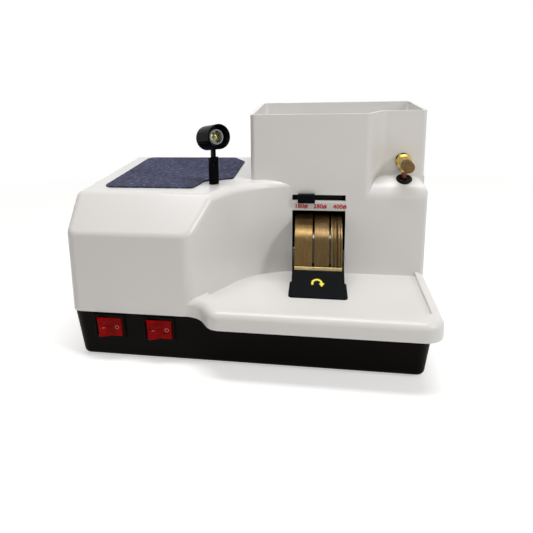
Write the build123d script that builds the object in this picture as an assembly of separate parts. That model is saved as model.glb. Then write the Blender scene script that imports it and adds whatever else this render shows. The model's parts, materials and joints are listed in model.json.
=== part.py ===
from build123d import *
import math
import os

# Optical lens edger: three diamond wheels on one spindle, worked at a window in the front wall, with an
# open water tank above them, a tray in front, a work light, a water valve and two rocker switches.
# Millimetres. +X is to the operator's right, +Y to the back, +Z up. The origin is on the bench under
# the middle of the machine.

# ---------------------------------------------------------------- overall
length = 340.0            # left to right
depth = 255.0             # tray lip to back
foot_proud = 2.5          # feet below the tub
tub_height = 48.5
block_height = 111.0      # casing's rim to the top of the motor block
tank_height = 66.5        # top of the block to the tank's rim
running_gap = 0.3         # between a moving piece and what it passes
bearing_gap = 0.05        # radial, a shaft or pin in its bore

left_x = -length / 2
right_x = length / 2
lip_y = -depth / 2
back_y = depth / 2
tub_z = foot_proud
rim_z = tub_z + tub_height
block_top_z = rim_z + block_height
tank_top_z = block_top_z + tank_height

# ---------------------------------------------------------------- casing
casing_wall = 3.0
lip_overhang = 24.0       # the tray's lip, ahead of the motor block
block_y = lip_y + lip_overhang
block_corner_x = -50.0    # where the block's front face turns back
block_slant = 60.0        # degrees, the turned face from the front face
sweep_radius = 80.0       # the hollow sweep from the turned face into the window wall
sweep_kink = 8.0          # degrees at which the sweep meets the window wall
wall_y = -10.5            # front of the window wall
block_back_radius = 10.0
block_corner_radius = 14.0
block_edge_radius = 8.0
block_chamfer = 32.3      # along the top of the block's front
block_end_x = 60.0        # inside the window wall's body

tank_left_x = -4.0
tank_back_radius = 8.0
tank_front_radius = 5.0
tank_rim_radius = 1.2
bay_width = 42.0          # bay beside the tank that holds the valve
bay_depth = 26.5
bay_slant = 14.0          # how far the tank's front turns over that depth
bay_radius = 8.0
bay_x = right_x - bay_width
bay_y = wall_y + bay_depth
wall_corner_radius = 4.5
shoulder_front_radius = 20.0
shoulder_side_radius = 14.0
tank_skirt = 30.0         # how far the tank's walls run down into the casing

tray_floor_height = 13.0  # top of the floor, above the rim
tray_rim_height = 17.0
tray_edge_radius = 7.0
tray_floor_z = rim_z + tray_floor_height
tray_rim_z = rim_z + tray_rim_height
tray_left_x = -28.6       # where the lip's slanted left end meets its front
tray_left_angle = 58.0
tray_blend_radius = 20.0
tray_blend_bury = 0.2     # how far the blend starts behind the block's front
tray_left_radius = 14.0
tray_right_radius = 18.0
tray_border_left = 12.8
tray_border_front = 17.5
tray_border_right = 9.0
tray_well_radius = 8.0
tray_well_back = 20.0     # where the well ends, behind the window wall's front
tray_start = 30.0         # how far the lip's body runs on inside the block

# ---------------------------------------------------------------- tub
tub_wall = 4.0
tub_floor = 3.0
tub_taper = 6.3           # lean of each side, top to bottom
tub_right_inset = 4.0
tub_corner_radius = 14.0
tub_edge_radius = 5.0
register_height = 2.5     # the tub's ring that locates the casing
register_depth = 3.0
register_width = 3.2
tub_right_x = right_x - tub_right_inset
tub_floor_z = tub_z + tub_floor

tower_inside = 9.5        # axis of the casing's screws, from the casing's inner side
tower_radius = 5.0
tower_head_z = 43.0
casing_boss_height = 10.0
casing_rib = 3.0
casing_screw_radius = 1.75
screw_head_radius = 3.2
screw_head_height = 3.0

foot_radius = 8.0
foot_inset_x = 32.0
foot_inset_y = 26.0
foot_screw_radius = 1.5
foot_boss_height = 5.0
foot_recess = 1.6         # for the screw's head, above the bench
vent_count = 8            # slots in the floor under the motor's front
vent_pitch = 10.0
vent_width = 4.0
vent_start = 12.0         # first vent, from the motor's left end
vent_near = 50.0          # ahead of the spindle
vent_far = 72.0

niche_width = 70.0        # recess in the tub's back for the power inlet
niche_depth = 16.0
niche_x = -100.0
drain_niche_width = 34.0
niche_low_z = 10.0
niche_high_z = 44.0
niche_wall = 3.0
inlet_screw_pitch = 40.0
inlet_screw_radius = 1.75
outlet_bore = 3.5         # radius
outlet_wall = 1.5
outlet_radius = 6.0       # where it passes the niche's wall
outlet_collar = 3.0       # proud of that, all round
outlet_collar_width = 2.0
outlet_length = 12.0      # behind the wall
outlet_inside = 12.0      # ahead of it
outlet_drop = 3.0         # below the power inlet's middle

# ---------------------------------------------------------------- window, wheels and spindle
work_x = 65.0             # middle of the window
window_width = 53.2
window_over = 6.0         # the window's top edge, above the wheels
spindle_setback = 10.5    # behind the front of the window wall
spindle_height = 27.6     # above the casing's rim
wheel_radius = 46.0
wheel_hub_radius = 34.0
wheel_widths = (17.6, 14.6, 10.8)
spacer_width = 1.7
spacer_radius = 38.0
shaft_radius = 6.0
bevel_width = 2.4
bevel_depth = 1.0
bevel_offset = 0.5        # to the right of the wheel's middle
fine_groove_places = (3.4, -1.8, -3.2)
fine_groove_width = 0.7
fine_groove_depth = 0.4
flange_width = 2.0
flange_radius = 14.0
nut_width = 2.0
nut_flat = 18.0
collar_rise = 2.5
collar_width = 1.0
shaft_tail = 2.0          # left of the fan
rim_chamfer = 0.3

window_height = spindle_height - tray_floor_height + wheel_radius + window_over
window_top_z = tray_floor_z + window_height
window_left_x = work_x - window_width / 2
window_right_x = work_x + window_width / 2
spindle_y = wall_y + spindle_setback
spindle_z = rim_z + spindle_height
stack_width = sum(wheel_widths) + 2 * spacer_width
stack_x = work_x - stack_width / 2

housing_wall = 2.0
housing_side_gap = 1.0    # window edge to the housing's inner side
housing_gap = 4.0         # wheel to the housing
pit_front = 26.0          # front of the drip pit, ahead of the wheels
housing_top_gap = 3.4
pillar_radius = 5.0
pillar_spread = 18.0      # the two rear pillars, either side of the window's middle
pillar_inset = 12.0       # ahead of the wheels' back
pillar_front = 10.0       # the third pillar, ahead of the wheels
housing_screw_radius = 2.0
housing_head_rise = 1.5
housing_head_height = 1.6
housing_screw_reach = 10.0
seal_radius = 6.9
spout_length = 10.0
spout_rise = 1.0          # above the housing's floor
drain_hose_radius = 6.5
drain_turn = 30.0         # degrees, each of the hose's two bends

# ---------------------------------------------------------------- guard and rest
guard_sheet = 1.2
guard_width = 49.8
guard_flange_width = 54.9
guard_front = 32.0        # foot of the sloping plate, ahead of the wheels
guard_rise = 16.3         # top of the plate above the tray's floor
guard_lip = 6.0           # fold at the plate's top
guard_tail = 4.0          # how far the flange runs back past the wheels' front
guard_corner_radius = 4.0
rest_width = 45.7
rest_gap = 1.2            # to the wheels
rest_thickness = 1.2
rest_proud = 3.5          # above the plate
rest_height = 9.0
guard_pit_edge = 3.0      # of the flange that lies on the tray

# ---------------------------------------------------------------- selector and water
slot_height = 6.0
slot_rise = 10.4          # lower edge, above the window
knob_width = 17.1
knob_height = 9.0
knob_depth = 6.0
knob_x = work_x - 12.35   # where the knob stands
knob_ribs = 9
knob_groove_width = 0.7
knob_groove_depth = 0.7
knob_gap = 0.6            # behind the knob
stem_width = 6.0
stem_height = 5.2
gate_length = 72.0
gate_height = 8.8
gate_depth = 3.9
gate_gap = 0.1
gate_bevel = 1.6          # along its upper front edge, clear of the casing's rolled shoulder
port_width = 4.0
manifold_margin = 3.0     # past the window's sides
manifold_depth = 20.5
manifold_height = 16.0
manifold_wall = 1.0       # of the elbow
barb_drop = 12.0          # end of the barb, below the slot's middle
nozzle_radius = 2.5
jet_radius = 1.5
label_thickness = 0.3
label_height = 6.9
label_rise = 1.6          # above the window
label_cuts = (18.2, 36.7)
label_start = 1.0         # in from the window's left edge
label_over = 0.6          # past its right edge
label_gap = 0.1

tube_radius = 2.5
tube_bore = 1.7
tube_setback = 14.0       # behind the window wall's front
tube_grip = 5.0           # in the valve's boss
tube_drop = 17.0          # where the hose starts, below the block's top
valve_from_right = 21.5
valve_rise = 16.0         # above the shoulder
hose_radius = 4.0
hose_grip = 8.0
hose_rise = 8.0           # its bend starts below the barb's end
inlet_from_manifold = 9.0
inlet_y = 8.0
valve_shank_radius = 4.0
valve_shank_length = 8.0  # inside the tank
valve_nut_thickness = 4.0
valve_flats = 14.0
valve_hex_thickness = 4.5
valve_waist_radius = 6.2
valve_bead_radius = 7.4
valve_bead_width = 3.0
valve_bead_count = 2
barrel_start_radius = 5.8
barrel_end_radius = 4.8
barrel_gap = 0.5          # to the cap
boss_radius = 4.0
boss_length = 9.0
washer_radius = 7.6
washer_thickness = 1.5
valve_cap_start = 25.0    # from the bay's wall
valve_cap_length = 13.5
valve_cap_radius = 5.75
flute_count = 20
flute_radius = 0.55
flute_end = 2.5           # plain front of the cap
neck_length = 10.0
neck_radius = 3.0
needle_radius = 1.6
needle_seat = 3.0
needle_grip = 2.0         # in the cap
seat_bore = 1.0
chamber_radius = 2.6
grommet_radius = 7.75
grommet_neck_radius = 6.2
grommet_proud = 2.3
grommet_edge = 1.4

# ---------------------------------------------------------------- motor
motor_right_x = -34.0
motor_length = 106.0
motor_radius = 45.0
motor_wall = 3.0
end_cap_length = 13.5
end_cap_spigot = 3.0
stator_length = 50.0
stator_slots = 12
stator_slot_length = 9.0
stator_slot_width = 4.0
stator_slot_share = 0.41  # middle of a slot, from the bore to the outside
winding_length = 8.0
winding_edge = 2.0
rotor_radius = 24.5
air_gap = 0.5
bearing_radius = 14.0
bearing_width = 8.0
fan_width = 9.0
fan_cover_length = 16.0
fan_radius = 38.0
fan_hub_radius = 11.0
fan_disc = 1.5
fan_blades = 8
fan_gap = 2.0             # to the motor
cover_slots = 7
cover_slot_pitch = 8.0
cover_slot_width = 3.0
cover_rim = 9.0           # the slots end this far inside the cover
saddle_width = 10.0
saddle_ears = 8.0         # of the saddles and straps, past the motor's side
saddle_inset = 6.0        # from the end caps
saddle_drop = 12.0        # top of the saddles, below the spindle
cradle_plate = 3.0
strap_sheet = 1.5
strap_screw_radius = 1.5
strap_screw_inset = 3.0
strap_head_radius = 2.6
strap_head_height = 2.0
stand_x = 0.0             # middle of the outboard bearing's stand
stand_width = 12.0
stand_foot_width = 32.0
stand_foot_front = 16.0
stand_foot_back = 30.0
stand_foot_height = 4.0
stand_half_depth = 15.0
stand_rim = 3.0
capacitor_radius = 15.0
capacitor_length = 62.0
capacitor_back = 32.0     # its left end, from the motor's right end
capacitor_gap = 4.0       # behind the cradle
capacitor_rise = 3.0      # above the tub's floor
clip_start = 24.0
clip_width = 16.0
clip_half_depth = 12.0
clip_drop = 8.0           # top of the clip's base, below the can's middle
clip_mouth = 9.0

# ---------------------------------------------------------------- work light
lamp_from_corner = 11.5   # to the right of the block's turned corner
lamp_from_front = 72.5
lamp_heading = 39.4       # degrees to the right of straight ahead
lamp_tilt = 10.0          # degrees, nose up
post_width = 9.2
post_thickness = 6.0
post_height = 27.5
pin_height = 23.5
head_height = 47.0        # axis of the head above the block
head_radius = 12.25
head_length = 27.0
head_wall = 1.6
tongue_width = 3.0
fork_gap = 0.2
pin_radius = 1.25
stud_radius = 3.0
bush_radius = 5.0
bush_flange_radius = 8.0
bush_flange = 2.0
post_nut_flats = 10.0
post_nut_height = 4.0
eye_radius = 3.2
bezel_ring = 4.0
funnel_depth = 5.5
lens_radius = 6.2
lens_thickness = 1.5
cup_depth = 7.0
board_thickness = 1.6
chip_width = 2.0
chip_height = 3.2
chip_pitch = 3.2
driver_left = 8.0         # case of the light's supply, from the stand
driver_right = 38.0
driver_front = 66.0       # from the back
driver_back = 26.0
driver_height = 18.0

# ---------------------------------------------------------------- switches and power inlet
switch_from_left = 38.5
switch_pitch = 49.3
switch_z = 36.8
bezel_width = 31.0
bezel_height = 25.5
bezel_thickness = 2.0
switch_body_width = 28.8
switch_body_height = 22.4
switch_body_depth = 22.0
rocker_radius = 13.2      # its ends, about the pivot
rocker_height = 19.4
rocker_rest_angle = 10.5  # degrees either way
pivot_depth = 3.0         # behind the tub's face
trunnion_radius = 1.5
rocker_space = 8.0        # below the pivot
rocker_slope = 2.5        # rise of the V face from its middle to its ends
rocker_slope_run = 16.0
rocker_face = 5.9         # the V's bottom, above the pivot
rocker_floor = 4.5        # its underside, below the pivot
blade_width = 6.2
blade_thickness = 0.8
blade_length = 8.0
blade_places = (-8.0, 0.0, 8.0)
blade_rows = (-5.0, 5.0)
inlet_width = 27.2
inlet_height = 19.8
inlet_flange_width = 50.0
inlet_flange_height = 23.0
inlet_depth = 22.0
socket_depth = 15.5
socket_wall = 1.4
socket_cut = 5.0          # its two cut corners
inlet_flange = 2.5
inlet_flange_corner = 3.0
pin_width = 2.0
pin_tall = 4.0
pin_back = 6.0            # ahead of the inlet's body
pin_sunk = 4.0            # behind the flange's face
pin_places = ((-7.0, -2.0), (7.0, -2.0), (0.0, 2.0))
inlet_head_radius = 3.0
inlet_head_height = 2.0

# ---------------------------------------------------------------- felt pad
pad_thickness = 1.5
pad_left = 22.0           # in from the casing's left side
pad_right = 18.5          # to the tank
pad_front = 50.5          # behind the block's front
pad_back = 15.5           # in from the back
pad_step_x = 17.0         # its front ends this far left of the light
pad_side_x = 11.5         # and it passes the light at this distance
pad_side_y = 9.5
pad_turn_y = 23.5         # its right edge starts this far behind the light
pad_clip_x = 14.7         # cut corner at the back
pad_clip_y = 24.6
pad_corner = 10.0
pad_small_corner = 5.0


# ================================================================ small helpers
def slab(xs, ys, zs):
    """Block between three pairs of limits."""
    size = (xs[1] - xs[0], ys[1] - ys[0], zs[1] - zs[0])
    return Pos(sum(xs) / 2, sum(ys) / 2, sum(zs) / 2) * Box(*size)


def rod(radius, start, end):
    """Round bar between two points."""
    line = Vector(*end) - Vector(*start)
    base = Cylinder(radius, line.length, align=(Align.CENTER, Align.CENTER, Align.MIN))
    return Plane(origin=start, z_dir=line) * base


def cone(radius_start, radius_end, start, end):
    """Straight cone between two points."""
    line = Vector(*end) - Vector(*start)
    base = Cone(radius_start, radius_end, line.length, align=(Align.CENTER, Align.CENTER, Align.MIN))
    return Plane(origin=start, z_dir=line) * base


def pipe(outer, inner, start, end):
    """Round tube between two points."""
    return rod(outer, start, end) - rod(inner, start, end)


def outline(points, radii):
    """Closed outline with its own rounding at each corner, as a face."""
    return make_face(FilletPolyline(*points, radius=radii, close=True))


def plan(points, radii, low, high):
    """Outline seen from above, raised between two heights."""
    return Pos(0, 0, low) * extrude(outline(points, radii), high - low)


def side(points, radii, x0, x1):
    """Outline in Y and Z, carried along X."""
    plane = Plane(origin=(x0, 0, 0), x_dir=(0, 1, 0), z_dir=(1, 0, 0))
    return plane * extrude(outline(points, radii), x1 - x0)


def on_spindle(radius, x0, x1):
    """Round bar on the spindle's axis."""
    return rod(radius, (x0, spindle_y, spindle_z), (x1, spindle_y, spindle_z))


def ring_on_spindle(outer, inner, x0, x1):
    """Ring on the spindle's axis."""
    return on_spindle(outer, x0, x1) - on_spindle(inner, x0, x1)


def hexagon(across_flats, thickness):
    """Hexagonal plate on XY."""
    return extrude(RegularPolygon(across_flats / 2, 6, major_radius=False), thickness)


# ================================================================ casing outlines
def sweep_point(angle, inset):
    """Point of the hollow sweep in plan, at an angle about its centre, with the wall inset."""
    slant = math.radians(block_slant)
    centre_y = wall_y - sweep_radius * math.cos(math.radians(sweep_kink))
    run = (centre_y + sweep_radius * math.cos(slant) - block_y) / math.sin(slant)
    centre_x = block_corner_x + run * math.cos(slant) + sweep_radius * math.sin(slant)
    radius = sweep_radius + inset
    turn = math.radians(angle)
    return (centre_x + radius * math.cos(turn), centre_y + radius * math.sin(turn))


def block_plan(inset):
    """Motor block in plan: its front turns back at a slant and sweeps into the window wall."""
    lean = inset * math.tan(math.radians(block_slant / 2))
    corner = (block_corner_x - lean, block_y + inset)
    start, middle, end = (sweep_point(90 + share * block_slant, inset) for share in (1, 0.5, 0))
    back, left, front = back_y - inset, left_x + inset, block_y + inset
    points = (end, (block_end_x, end[1]), (block_end_x, back), (left, back), (left, front), corner, start)
    small = block_back_radius - inset
    line = FilletPolyline(*points, radius=(0, 0, small, small, block_corner_radius - inset))
    arc = ThreePointArc(start, middle, end)
    return make_face(line.edges() + arc.edges())


def block_body(inset):
    """Motor block with its long chamfer and soft edges; inset makes the hollow inside it."""
    top = block_top_z - inset
    body = Pos(0, 0, rim_z) * extrude(block_plan(inset), top - rim_z)
    over, shift = casing_wall, inset * math.sqrt(2)
    ahead, high = block_y - over, block_top_z + over - shift
    wedge = ((ahead, high - block_chamfer - 2 * over), (block_y + block_chamfer + over, high), (ahead, high))
    body -= side(wedge, (0, 0, 0), left_x - 1, block_end_x)
    limit = block_top_z - block_chamfer - shift - 1

    def soft(edge):
        start, end = edge @ 0, edge @ 1
        inside = min(start.X, end.X) > sweep_point(90, inset)[0] - 0.1
        upright = abs(start.Z - end.Z) > block_chamfer + 3
        return edge.center().Z > limit and not inside and not upright

    return body.fillet(block_edge_radius - inset, [edge for edge in body.edges() if soft(edge)])


def wall_body(inset):
    """Body of the window wall, with the rounded shoulder of the valve bay."""
    left, right = tank_left_x + inset, right_x - inset
    front, back, top = wall_y + inset, back_y - inset, block_top_z - inset
    points = ((left, front), (right, front), (right, back), (left, back))
    radii = (0, wall_corner_radius - inset, tank_back_radius - inset, 0)
    body = plan(points, radii, rim_z, top)
    roll, edge = shoulder_front_radius, shoulder_side_radius
    roll_y, roll_z = wall_y + roll, block_top_z - roll
    edge_x, edge_z = right_x - edge, block_top_z - edge
    start_x, end_y = bay_start_x - inset, bay_y + inset
    ahead = slab((start_x, right_x + 1), (wall_y - 1, roll_y), (roll_z, block_top_z + 1))
    ahead -= rod(roll - inset, (start_x, roll_y, roll_z), (right_x + 1, roll_y, roll_z))
    beside = slab((edge_x, right_x + 1), (wall_y - 1, end_y), (edge_z, block_top_z + 1))
    beside -= rod(edge - inset, (edge_x, wall_y - 1, edge_z), (edge_x, end_y, edge_z))
    return body - ahead - beside


def tank_body(inset, low, high):
    """Tank in plan, with the bay for the valve at its front right."""
    front, back = wall_y + inset, back_y - inset
    left, right, bay = tank_left_x + inset, right_x - inset, bay_y + inset
    shift = inset * (math.hypot(bay_slant, bay_depth) - bay_slant) / bay_depth
    points = ((left, front), (bay_x - bay_slant - shift, front), (bay_x - shift, bay), (right, bay),
              (right, back), (left, back))
    small, large = tank_front_radius - inset, tank_back_radius - inset
    radii = (small, bay_radius - inset, bay_radius + inset, small, large, large)
    return plan(points, radii, low, high)


def lip_plan_x(y, inset):
    """X of the lip's slanted left end at a given Y."""
    lean = math.radians(tray_left_angle)
    return tray_left_x + (inset - (y - lip_y) * math.cos(lean)) / math.sin(lean)


def lip_points(inset, front, right):
    """Corners of the tray's outline, with its own insets at the left, front and right."""
    block_line = block_y + inset + tray_blend_bury
    back = wall_y + 2 * casing_wall
    corner_x = lip_plan_x(block_line, inset)
    start_x, front_y, side_x = corner_x - tray_start, lip_y + front, right_x - right
    return ((start_x, block_line), (corner_x, block_line), (lip_plan_x(front_y, inset), front_y),
            (side_x, front_y), (side_x, back), (start_x, back))


def tray_body():
    """Tray with its rolled lip and shallow well."""
    radii = (0, tray_blend_radius, tray_left_radius, tray_right_radius, 0, 0)
    body = plan(lip_points(0, 0, 0), radii, rim_z, tray_rim_z)
    rear = wall_y + 2 * casing_wall - 0.1
    start = lip_points(0, 0, 0)[0][0] + 0.1

    def rolled(edge):
        middle = edge.center()
        return middle.Z > tray_rim_z - 0.1 and middle.Y < rear and middle.X > start

    body = body.fillet(tray_edge_radius, [edge for edge in body.edges() if rolled(edge)])
    front_y, well_back = lip_y + tray_border_front, wall_y + tray_well_back
    side_x = right_x - tray_border_right
    x0, x1 = lip_plan_x(wall_y, tray_border_left), lip_plan_x(front_y, tray_border_left)
    well = ((x0, well_back), (x1, front_y), (side_x, front_y), (side_x, well_back))
    return body - plan(well, (0, tray_well_radius, tray_well_radius, 0), tray_floor_z, tray_rim_z + 1)


def tray_hollow():
    """Space under the tray's floor."""
    wall = casing_wall
    radii = (0, tray_blend_radius + wall, tray_left_radius - wall, tray_right_radius - wall, 0, 0)
    return plan(lip_points(wall, wall, wall), radii, rim_z - 1, tray_floor_z - wall)


def tower_places():
    """Centres of the four screw towers."""
    xs = (left_x + tower_inset, tub_right_x - tower_inset)
    ys = (block_y + tower_inset, back_y - tower_inset)
    return [(x, y) for x in xs for y in ys]


def bay_normal():
    """Where the copper tube meets the rolled shoulder, and the way out of its surface."""
    roll = shoulder_front_radius
    drop = (roll - tube_setback) / roll
    lift = math.sqrt(1 - drop * drop)
    place = Vector(valve_x, tube_y, block_top_z - roll + roll * lift)
    return place, Vector(0, -drop, lift)


def upper_casing():
    """White moulded casing: motor block, window wall, open tank and tray in one shell."""
    wall = casing_wall
    body = block_body(0) + wall_body(0) + tank_body(0, block_top_z - tank_skirt, tank_top_z) + tray_body()
    hollow = block_body(wall) + wall_body(wall)
    body -= hollow
    body -= tray_hollow()
    body -= tank_body(wall, block_top_z, tank_top_z + 1)
    window, through = (window_left_x, window_right_x), (wall_y - 1, wall_y + wall + 1)
    body -= slab(window, through, (tray_floor_z, window_top_z))
    body -= slab(window, through, (slot_z, slot_z + slot_height))
    half, pit_y = guard_flange_width / 2 - guard_pit_edge, spindle_y - wheel_radius - pit_front
    pit = (work_x - half, work_x + half), (pit_y, through[1])
    body -= slab(*pit, (tray_floor_z - wall - 1, tray_floor_z + 1))
    body -= rod(bush_radius, (lamp_x, lamp_y, block_top_z - 2 * wall), (lamp_x, lamp_y, block_top_z + 1))
    body -= rod(valve_shank_radius, (valve_x, bay_y - 1, valve_z), (valve_x, bay_y + wall + 1, valve_z))
    place, out = bay_normal()
    body -= rod(grommet_neck_radius, place - out * 2 * wall, place + out * 2 * wall)
    for x, y in tower_places():
        body += casing_boss(x, y)
        body -= rod(casing_screw_radius, (x, y, rim_z - 1), (x, y, rim_z + casing_boss_height - 1))
    return body


def casing_boss(x, y):
    """Screw boss inside the casing, with a rib to the nearest side wall."""
    top = rim_z + casing_boss_height
    boss = rod(tower_radius, (x, y, rim_z), (x, y, top))
    wall_x = left_x + casing_wall if x < 0 else right_x - casing_wall
    xs = sorted((x, wall_x))
    rib_z = rim_z + register_height + 1
    rib = slab(xs, (y - casing_rib / 2, y + casing_rib / 2), (rib_z, top))
    return boss + rib


def felt_pad():
    """Felt pad on the block, cut out round the foot of the work light."""
    left, right = left_x + pad_left, tank_left_x - pad_right
    front, back = block_y + pad_front, back_y - pad_back
    points = ((left, front), (lamp_x - pad_step_x, front), (lamp_x - pad_side_x, lamp_y + pad_side_y),
              (right, lamp_y + pad_turn_y), (right, back - pad_clip_y), (right - pad_clip_x, back),
              (left, back))
    small = pad_small_corner
    radii = (pad_corner, small, small, small, small, small, pad_corner)
    return plan(points, radii, block_top_z, block_top_z + pad_thickness)


# ================================================================ tub
def tub_plan(inset):
    """Tub at its rim."""
    return ((left_x + inset, block_y + inset), (tub_right_x - inset, block_y + inset),
            (tub_right_x - inset, back_y - inset), (left_x + inset, back_y - inset))


def tapered(inset, low):
    """Tub's leaning block from its rim down to a height."""
    lean = math.degrees(math.atan(tub_taper / tub_height))
    face = outline(tub_plan(inset), (tub_corner_radius - inset,) * 4)
    return Pos(0, 0, rim_z) * extrude(face, rim_z - low, dir=(0, 0, -1), taper=lean)


def switch_plane(x):
    """Plane on the tub's leaning front at a switch: X along the tub, Y up, Z outward."""
    lean = math.atan(tub_taper / tub_height)
    y = block_y + (rim_z - switch_z) * tub_taper / tub_height
    return Plane(origin=(x, y, switch_z), x_dir=(1, 0, 0), z_dir=(0, -math.cos(lean), -math.sin(lean)))


def niche_walls(x, width):
    """Box of walls round a recess in the tub's back."""
    wall = niche_wall
    back = back_y - 1
    return slab((x - width / 2 - wall, x + width / 2 + wall), (niche_y - wall, back),
                (niche_low_z - wall, niche_high_z + wall))


def niche_space(x, width):
    """The recess itself."""
    return slab((x - width / 2, x + width / 2), (niche_y, back_y + 1), (niche_low_z, niche_high_z))


def base_tub():
    """Black tub that carries everything, with a ring that locates the casing."""
    body = tapered(0, tub_z)
    body = body.fillet(tub_edge_radius, body.edges().group_by(Axis.Z)[0])
    outer = body
    body -= tapered(tub_wall, tub_floor_z)
    gap = casing_wall + running_gap
    ring_top = rim_z + register_height
    lip_radii = (0, tray_blend_radius + gap, tray_left_radius - gap, tray_right_radius - gap, 0, 0)
    under_lip = plan(lip_points(gap, gap, gap), lip_radii, rim_z, ring_top)
    ring = plan(tub_plan(gap), (tub_corner_radius - gap,) * 4, rim_z - register_depth, ring_top)
    inner = plan(tub_plan(gap + register_width), (tub_corner_radius - gap - register_width,) * 4,
                 rim_z - register_depth - 1, ring_top + 1)
    body += (under_lip + ring) - inner
    for x, y in tower_places():
        body += rod(tower_radius, (x, y, tub_floor_z - 1), (x, y, rim_z))
    niches = ((niche_x, niche_width), (work_x, drain_niche_width))
    for x, width in niches:
        body += niche_walls(x, width) & outer
    for x, width in niches:
        body -= niche_space(x, width)
    boss_top = tub_floor_z + foot_boss_height
    for x, y in foot_places():
        body += rod(2 * foot_screw_radius + 1, (x, y, tub_floor_z - 1), (x, y, boss_top))
        body -= rod(foot_screw_radius, (x, y, tub_z - 1), (x, y, boss_top - 1))
    for x, y in tower_places():
        body -= rod(casing_screw_radius, (x, y, tub_z - 1), (x, y, rim_z + 1))
        body -= rod(screw_head_radius + running_gap, (x, y, tub_z - 1), (x, y, tower_head_z))
    for x, y in pillar_places():
        body -= rod(housing_screw_radius, (x, y, tub_z - 1), (x, y, tub_floor_z + 1))
    for x in switch_places():
        hole = Box(switch_body_width, switch_body_height, 4 * tub_wall)
        body -= switch_plane(x) * hole
    before, behind = niche_y - 2 * niche_wall, niche_y + 1
    body -= slab((niche_x - inlet_width / 2, niche_x + inlet_width / 2), (before, behind),
                 (inlet_z - inlet_height / 2, inlet_z + inlet_height / 2))
    for x in inlet_screw_places():
        body -= rod(inlet_screw_radius, (x, before, inlet_z), (x, behind, inlet_z))
    body -= rod(outlet_radius, (work_x, before, outlet_z), (work_x, behind, outlet_z))
    for step in range(vent_count):
        x = motor_left_x + vent_start + step * vent_pitch
        xs, ys = (x - vent_width / 2, x + vent_width / 2), (spindle_y - vent_far, spindle_y - vent_near)
        body -= slab(xs, ys, (tub_z - 1, tub_floor_z + 1))
    return body


def foot_places():
    """Centres of the four feet."""
    xs = (left_x + foot_inset_x, tub_right_x - foot_inset_x)
    ys = (block_y + foot_inset_y, back_y - foot_inset_y)
    return [(x, y) for x in xs for y in ys]


def pillar_places():
    """Centres of the three pillars under the splash housing."""
    back, front = spindle_y + wheel_radius - pillar_inset, spindle_y - wheel_radius - pillar_front
    return [(work_x - pillar_spread, back), (work_x + pillar_spread, back), (work_x, front)]


def switch_places():
    """X of the two switches."""
    first = left_x + switch_from_left
    return first, first + switch_pitch


def inlet_screw_places():
    """X of the two screws of the power inlet."""
    return niche_x - inlet_screw_pitch / 2, niche_x + inlet_screw_pitch / 2


def rubber_feet():
    """Four rubber feet with a recess for the screw."""
    feet = []
    for x, y in foot_places():
        foot = rod(foot_radius, (x, y, 0), (x, y, tub_z))
        foot -= rod(foot_screw_radius, (x, y, -1), (x, y, tub_z + 1))
        foot -= rod(2 * foot_screw_radius + running_gap, (x, y, -1), (x, y, foot_recess))
        feet.append(foot)
    return feet


def feet_screws():
    """Screws that hold the feet."""
    screws = []
    top = tub_floor_z + foot_boss_height - 2
    for x, y in foot_places():
        head = rod(2 * foot_screw_radius, (x, y, foot_recess - 1), (x, y, foot_recess))
        screws.append(head + rod(foot_screw_radius, (x, y, foot_recess - 0.5), (x, y, top)))
    return screws


def casing_screws():
    """Long screws up through the tub's towers into the casing."""
    screws = []
    for x, y in tower_places():
        head = rod(screw_head_radius, (x, y, tower_head_z - screw_head_height), (x, y, tower_head_z))
        shank = rod(casing_screw_radius, (x, y, tower_head_z - 1), (x, y, rim_z + casing_boss_height - 2))
        screws.append(head + shank)
    return screws


# ================================================================ splash housing, guard and rest
def housing_profile(inset):
    """Side outline of the splash housing: a tall box with the drip pit ahead of it."""
    back = spindle_y + wheel_radius + housing_gap + housing_wall - inset
    front = spindle_y - wheel_radius - pit_front - housing_wall + inset
    low = spindle_z - wheel_radius - housing_gap - housing_wall + inset
    top = window_top_z + housing_top_gap + housing_wall - inset
    mouth = wall_y + casing_wall - 8 * inset
    deck = tray_floor_z - casing_wall + 8 * inset
    return ((front, deck), (front, low), (back, low), (back, top), (mouth, top), (mouth, deck))


def wheel_housing():
    """Black housing behind the window that catches the water, with a pit under the guard."""
    half = window_width / 2 + housing_side_gap
    outer = half + housing_wall
    sharp = (0, 3, 3, 3, 0, 0)
    body = side(housing_profile(0), sharp, work_x - outer, work_x + outer)
    body -= side(housing_profile(housing_wall), (0, 1, 1, 1, 0, 0), work_x - half, work_x + half)
    body -= on_spindle(seal_radius, work_x - outer - 1, work_x - half + 1)
    low, high = housing_top_z - 2 * housing_wall, housing_top_z + 1
    for x in wheel_centres():
        body -= rod(nozzle_radius, (x, nozzle_y, low), (x, nozzle_y, high))
    screw_top = tub_floor_z + housing_screw_reach + 1
    for x, y in pillar_places():
        pillar = rod(pillar_radius, (x, y, tub_floor_z), (x, y, housing_low_z + 1))
        body += pillar - rod(housing_screw_radius, (x, y, tub_floor_z - 1), (x, y, screw_top))
    spout_y = housing_back_y
    end_y = spout_y + spout_length
    body += rod(outlet_bore + outlet_wall, (work_x, spout_y - 1, spout_z), (work_x, end_y, spout_z))
    body -= rod(outlet_bore, (work_x, spout_y - 2 * housing_wall, spout_z), (work_x, end_y + 1, spout_z))
    return body


def housing_screws():
    """Screws up through the tub's floor into the housing's pillars."""
    screws = []
    for x, y in pillar_places():
        head_radius, top = housing_screw_radius + housing_head_rise, tub_floor_z + housing_screw_reach
        head = rod(head_radius, (x, y, tub_z - housing_head_height), (x, y, tub_z))
        shank = rod(housing_screw_radius, (x, y, tub_z - housing_head_height / 2), (x, y, top))
        screws.append(head + shank)
    return screws


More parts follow.
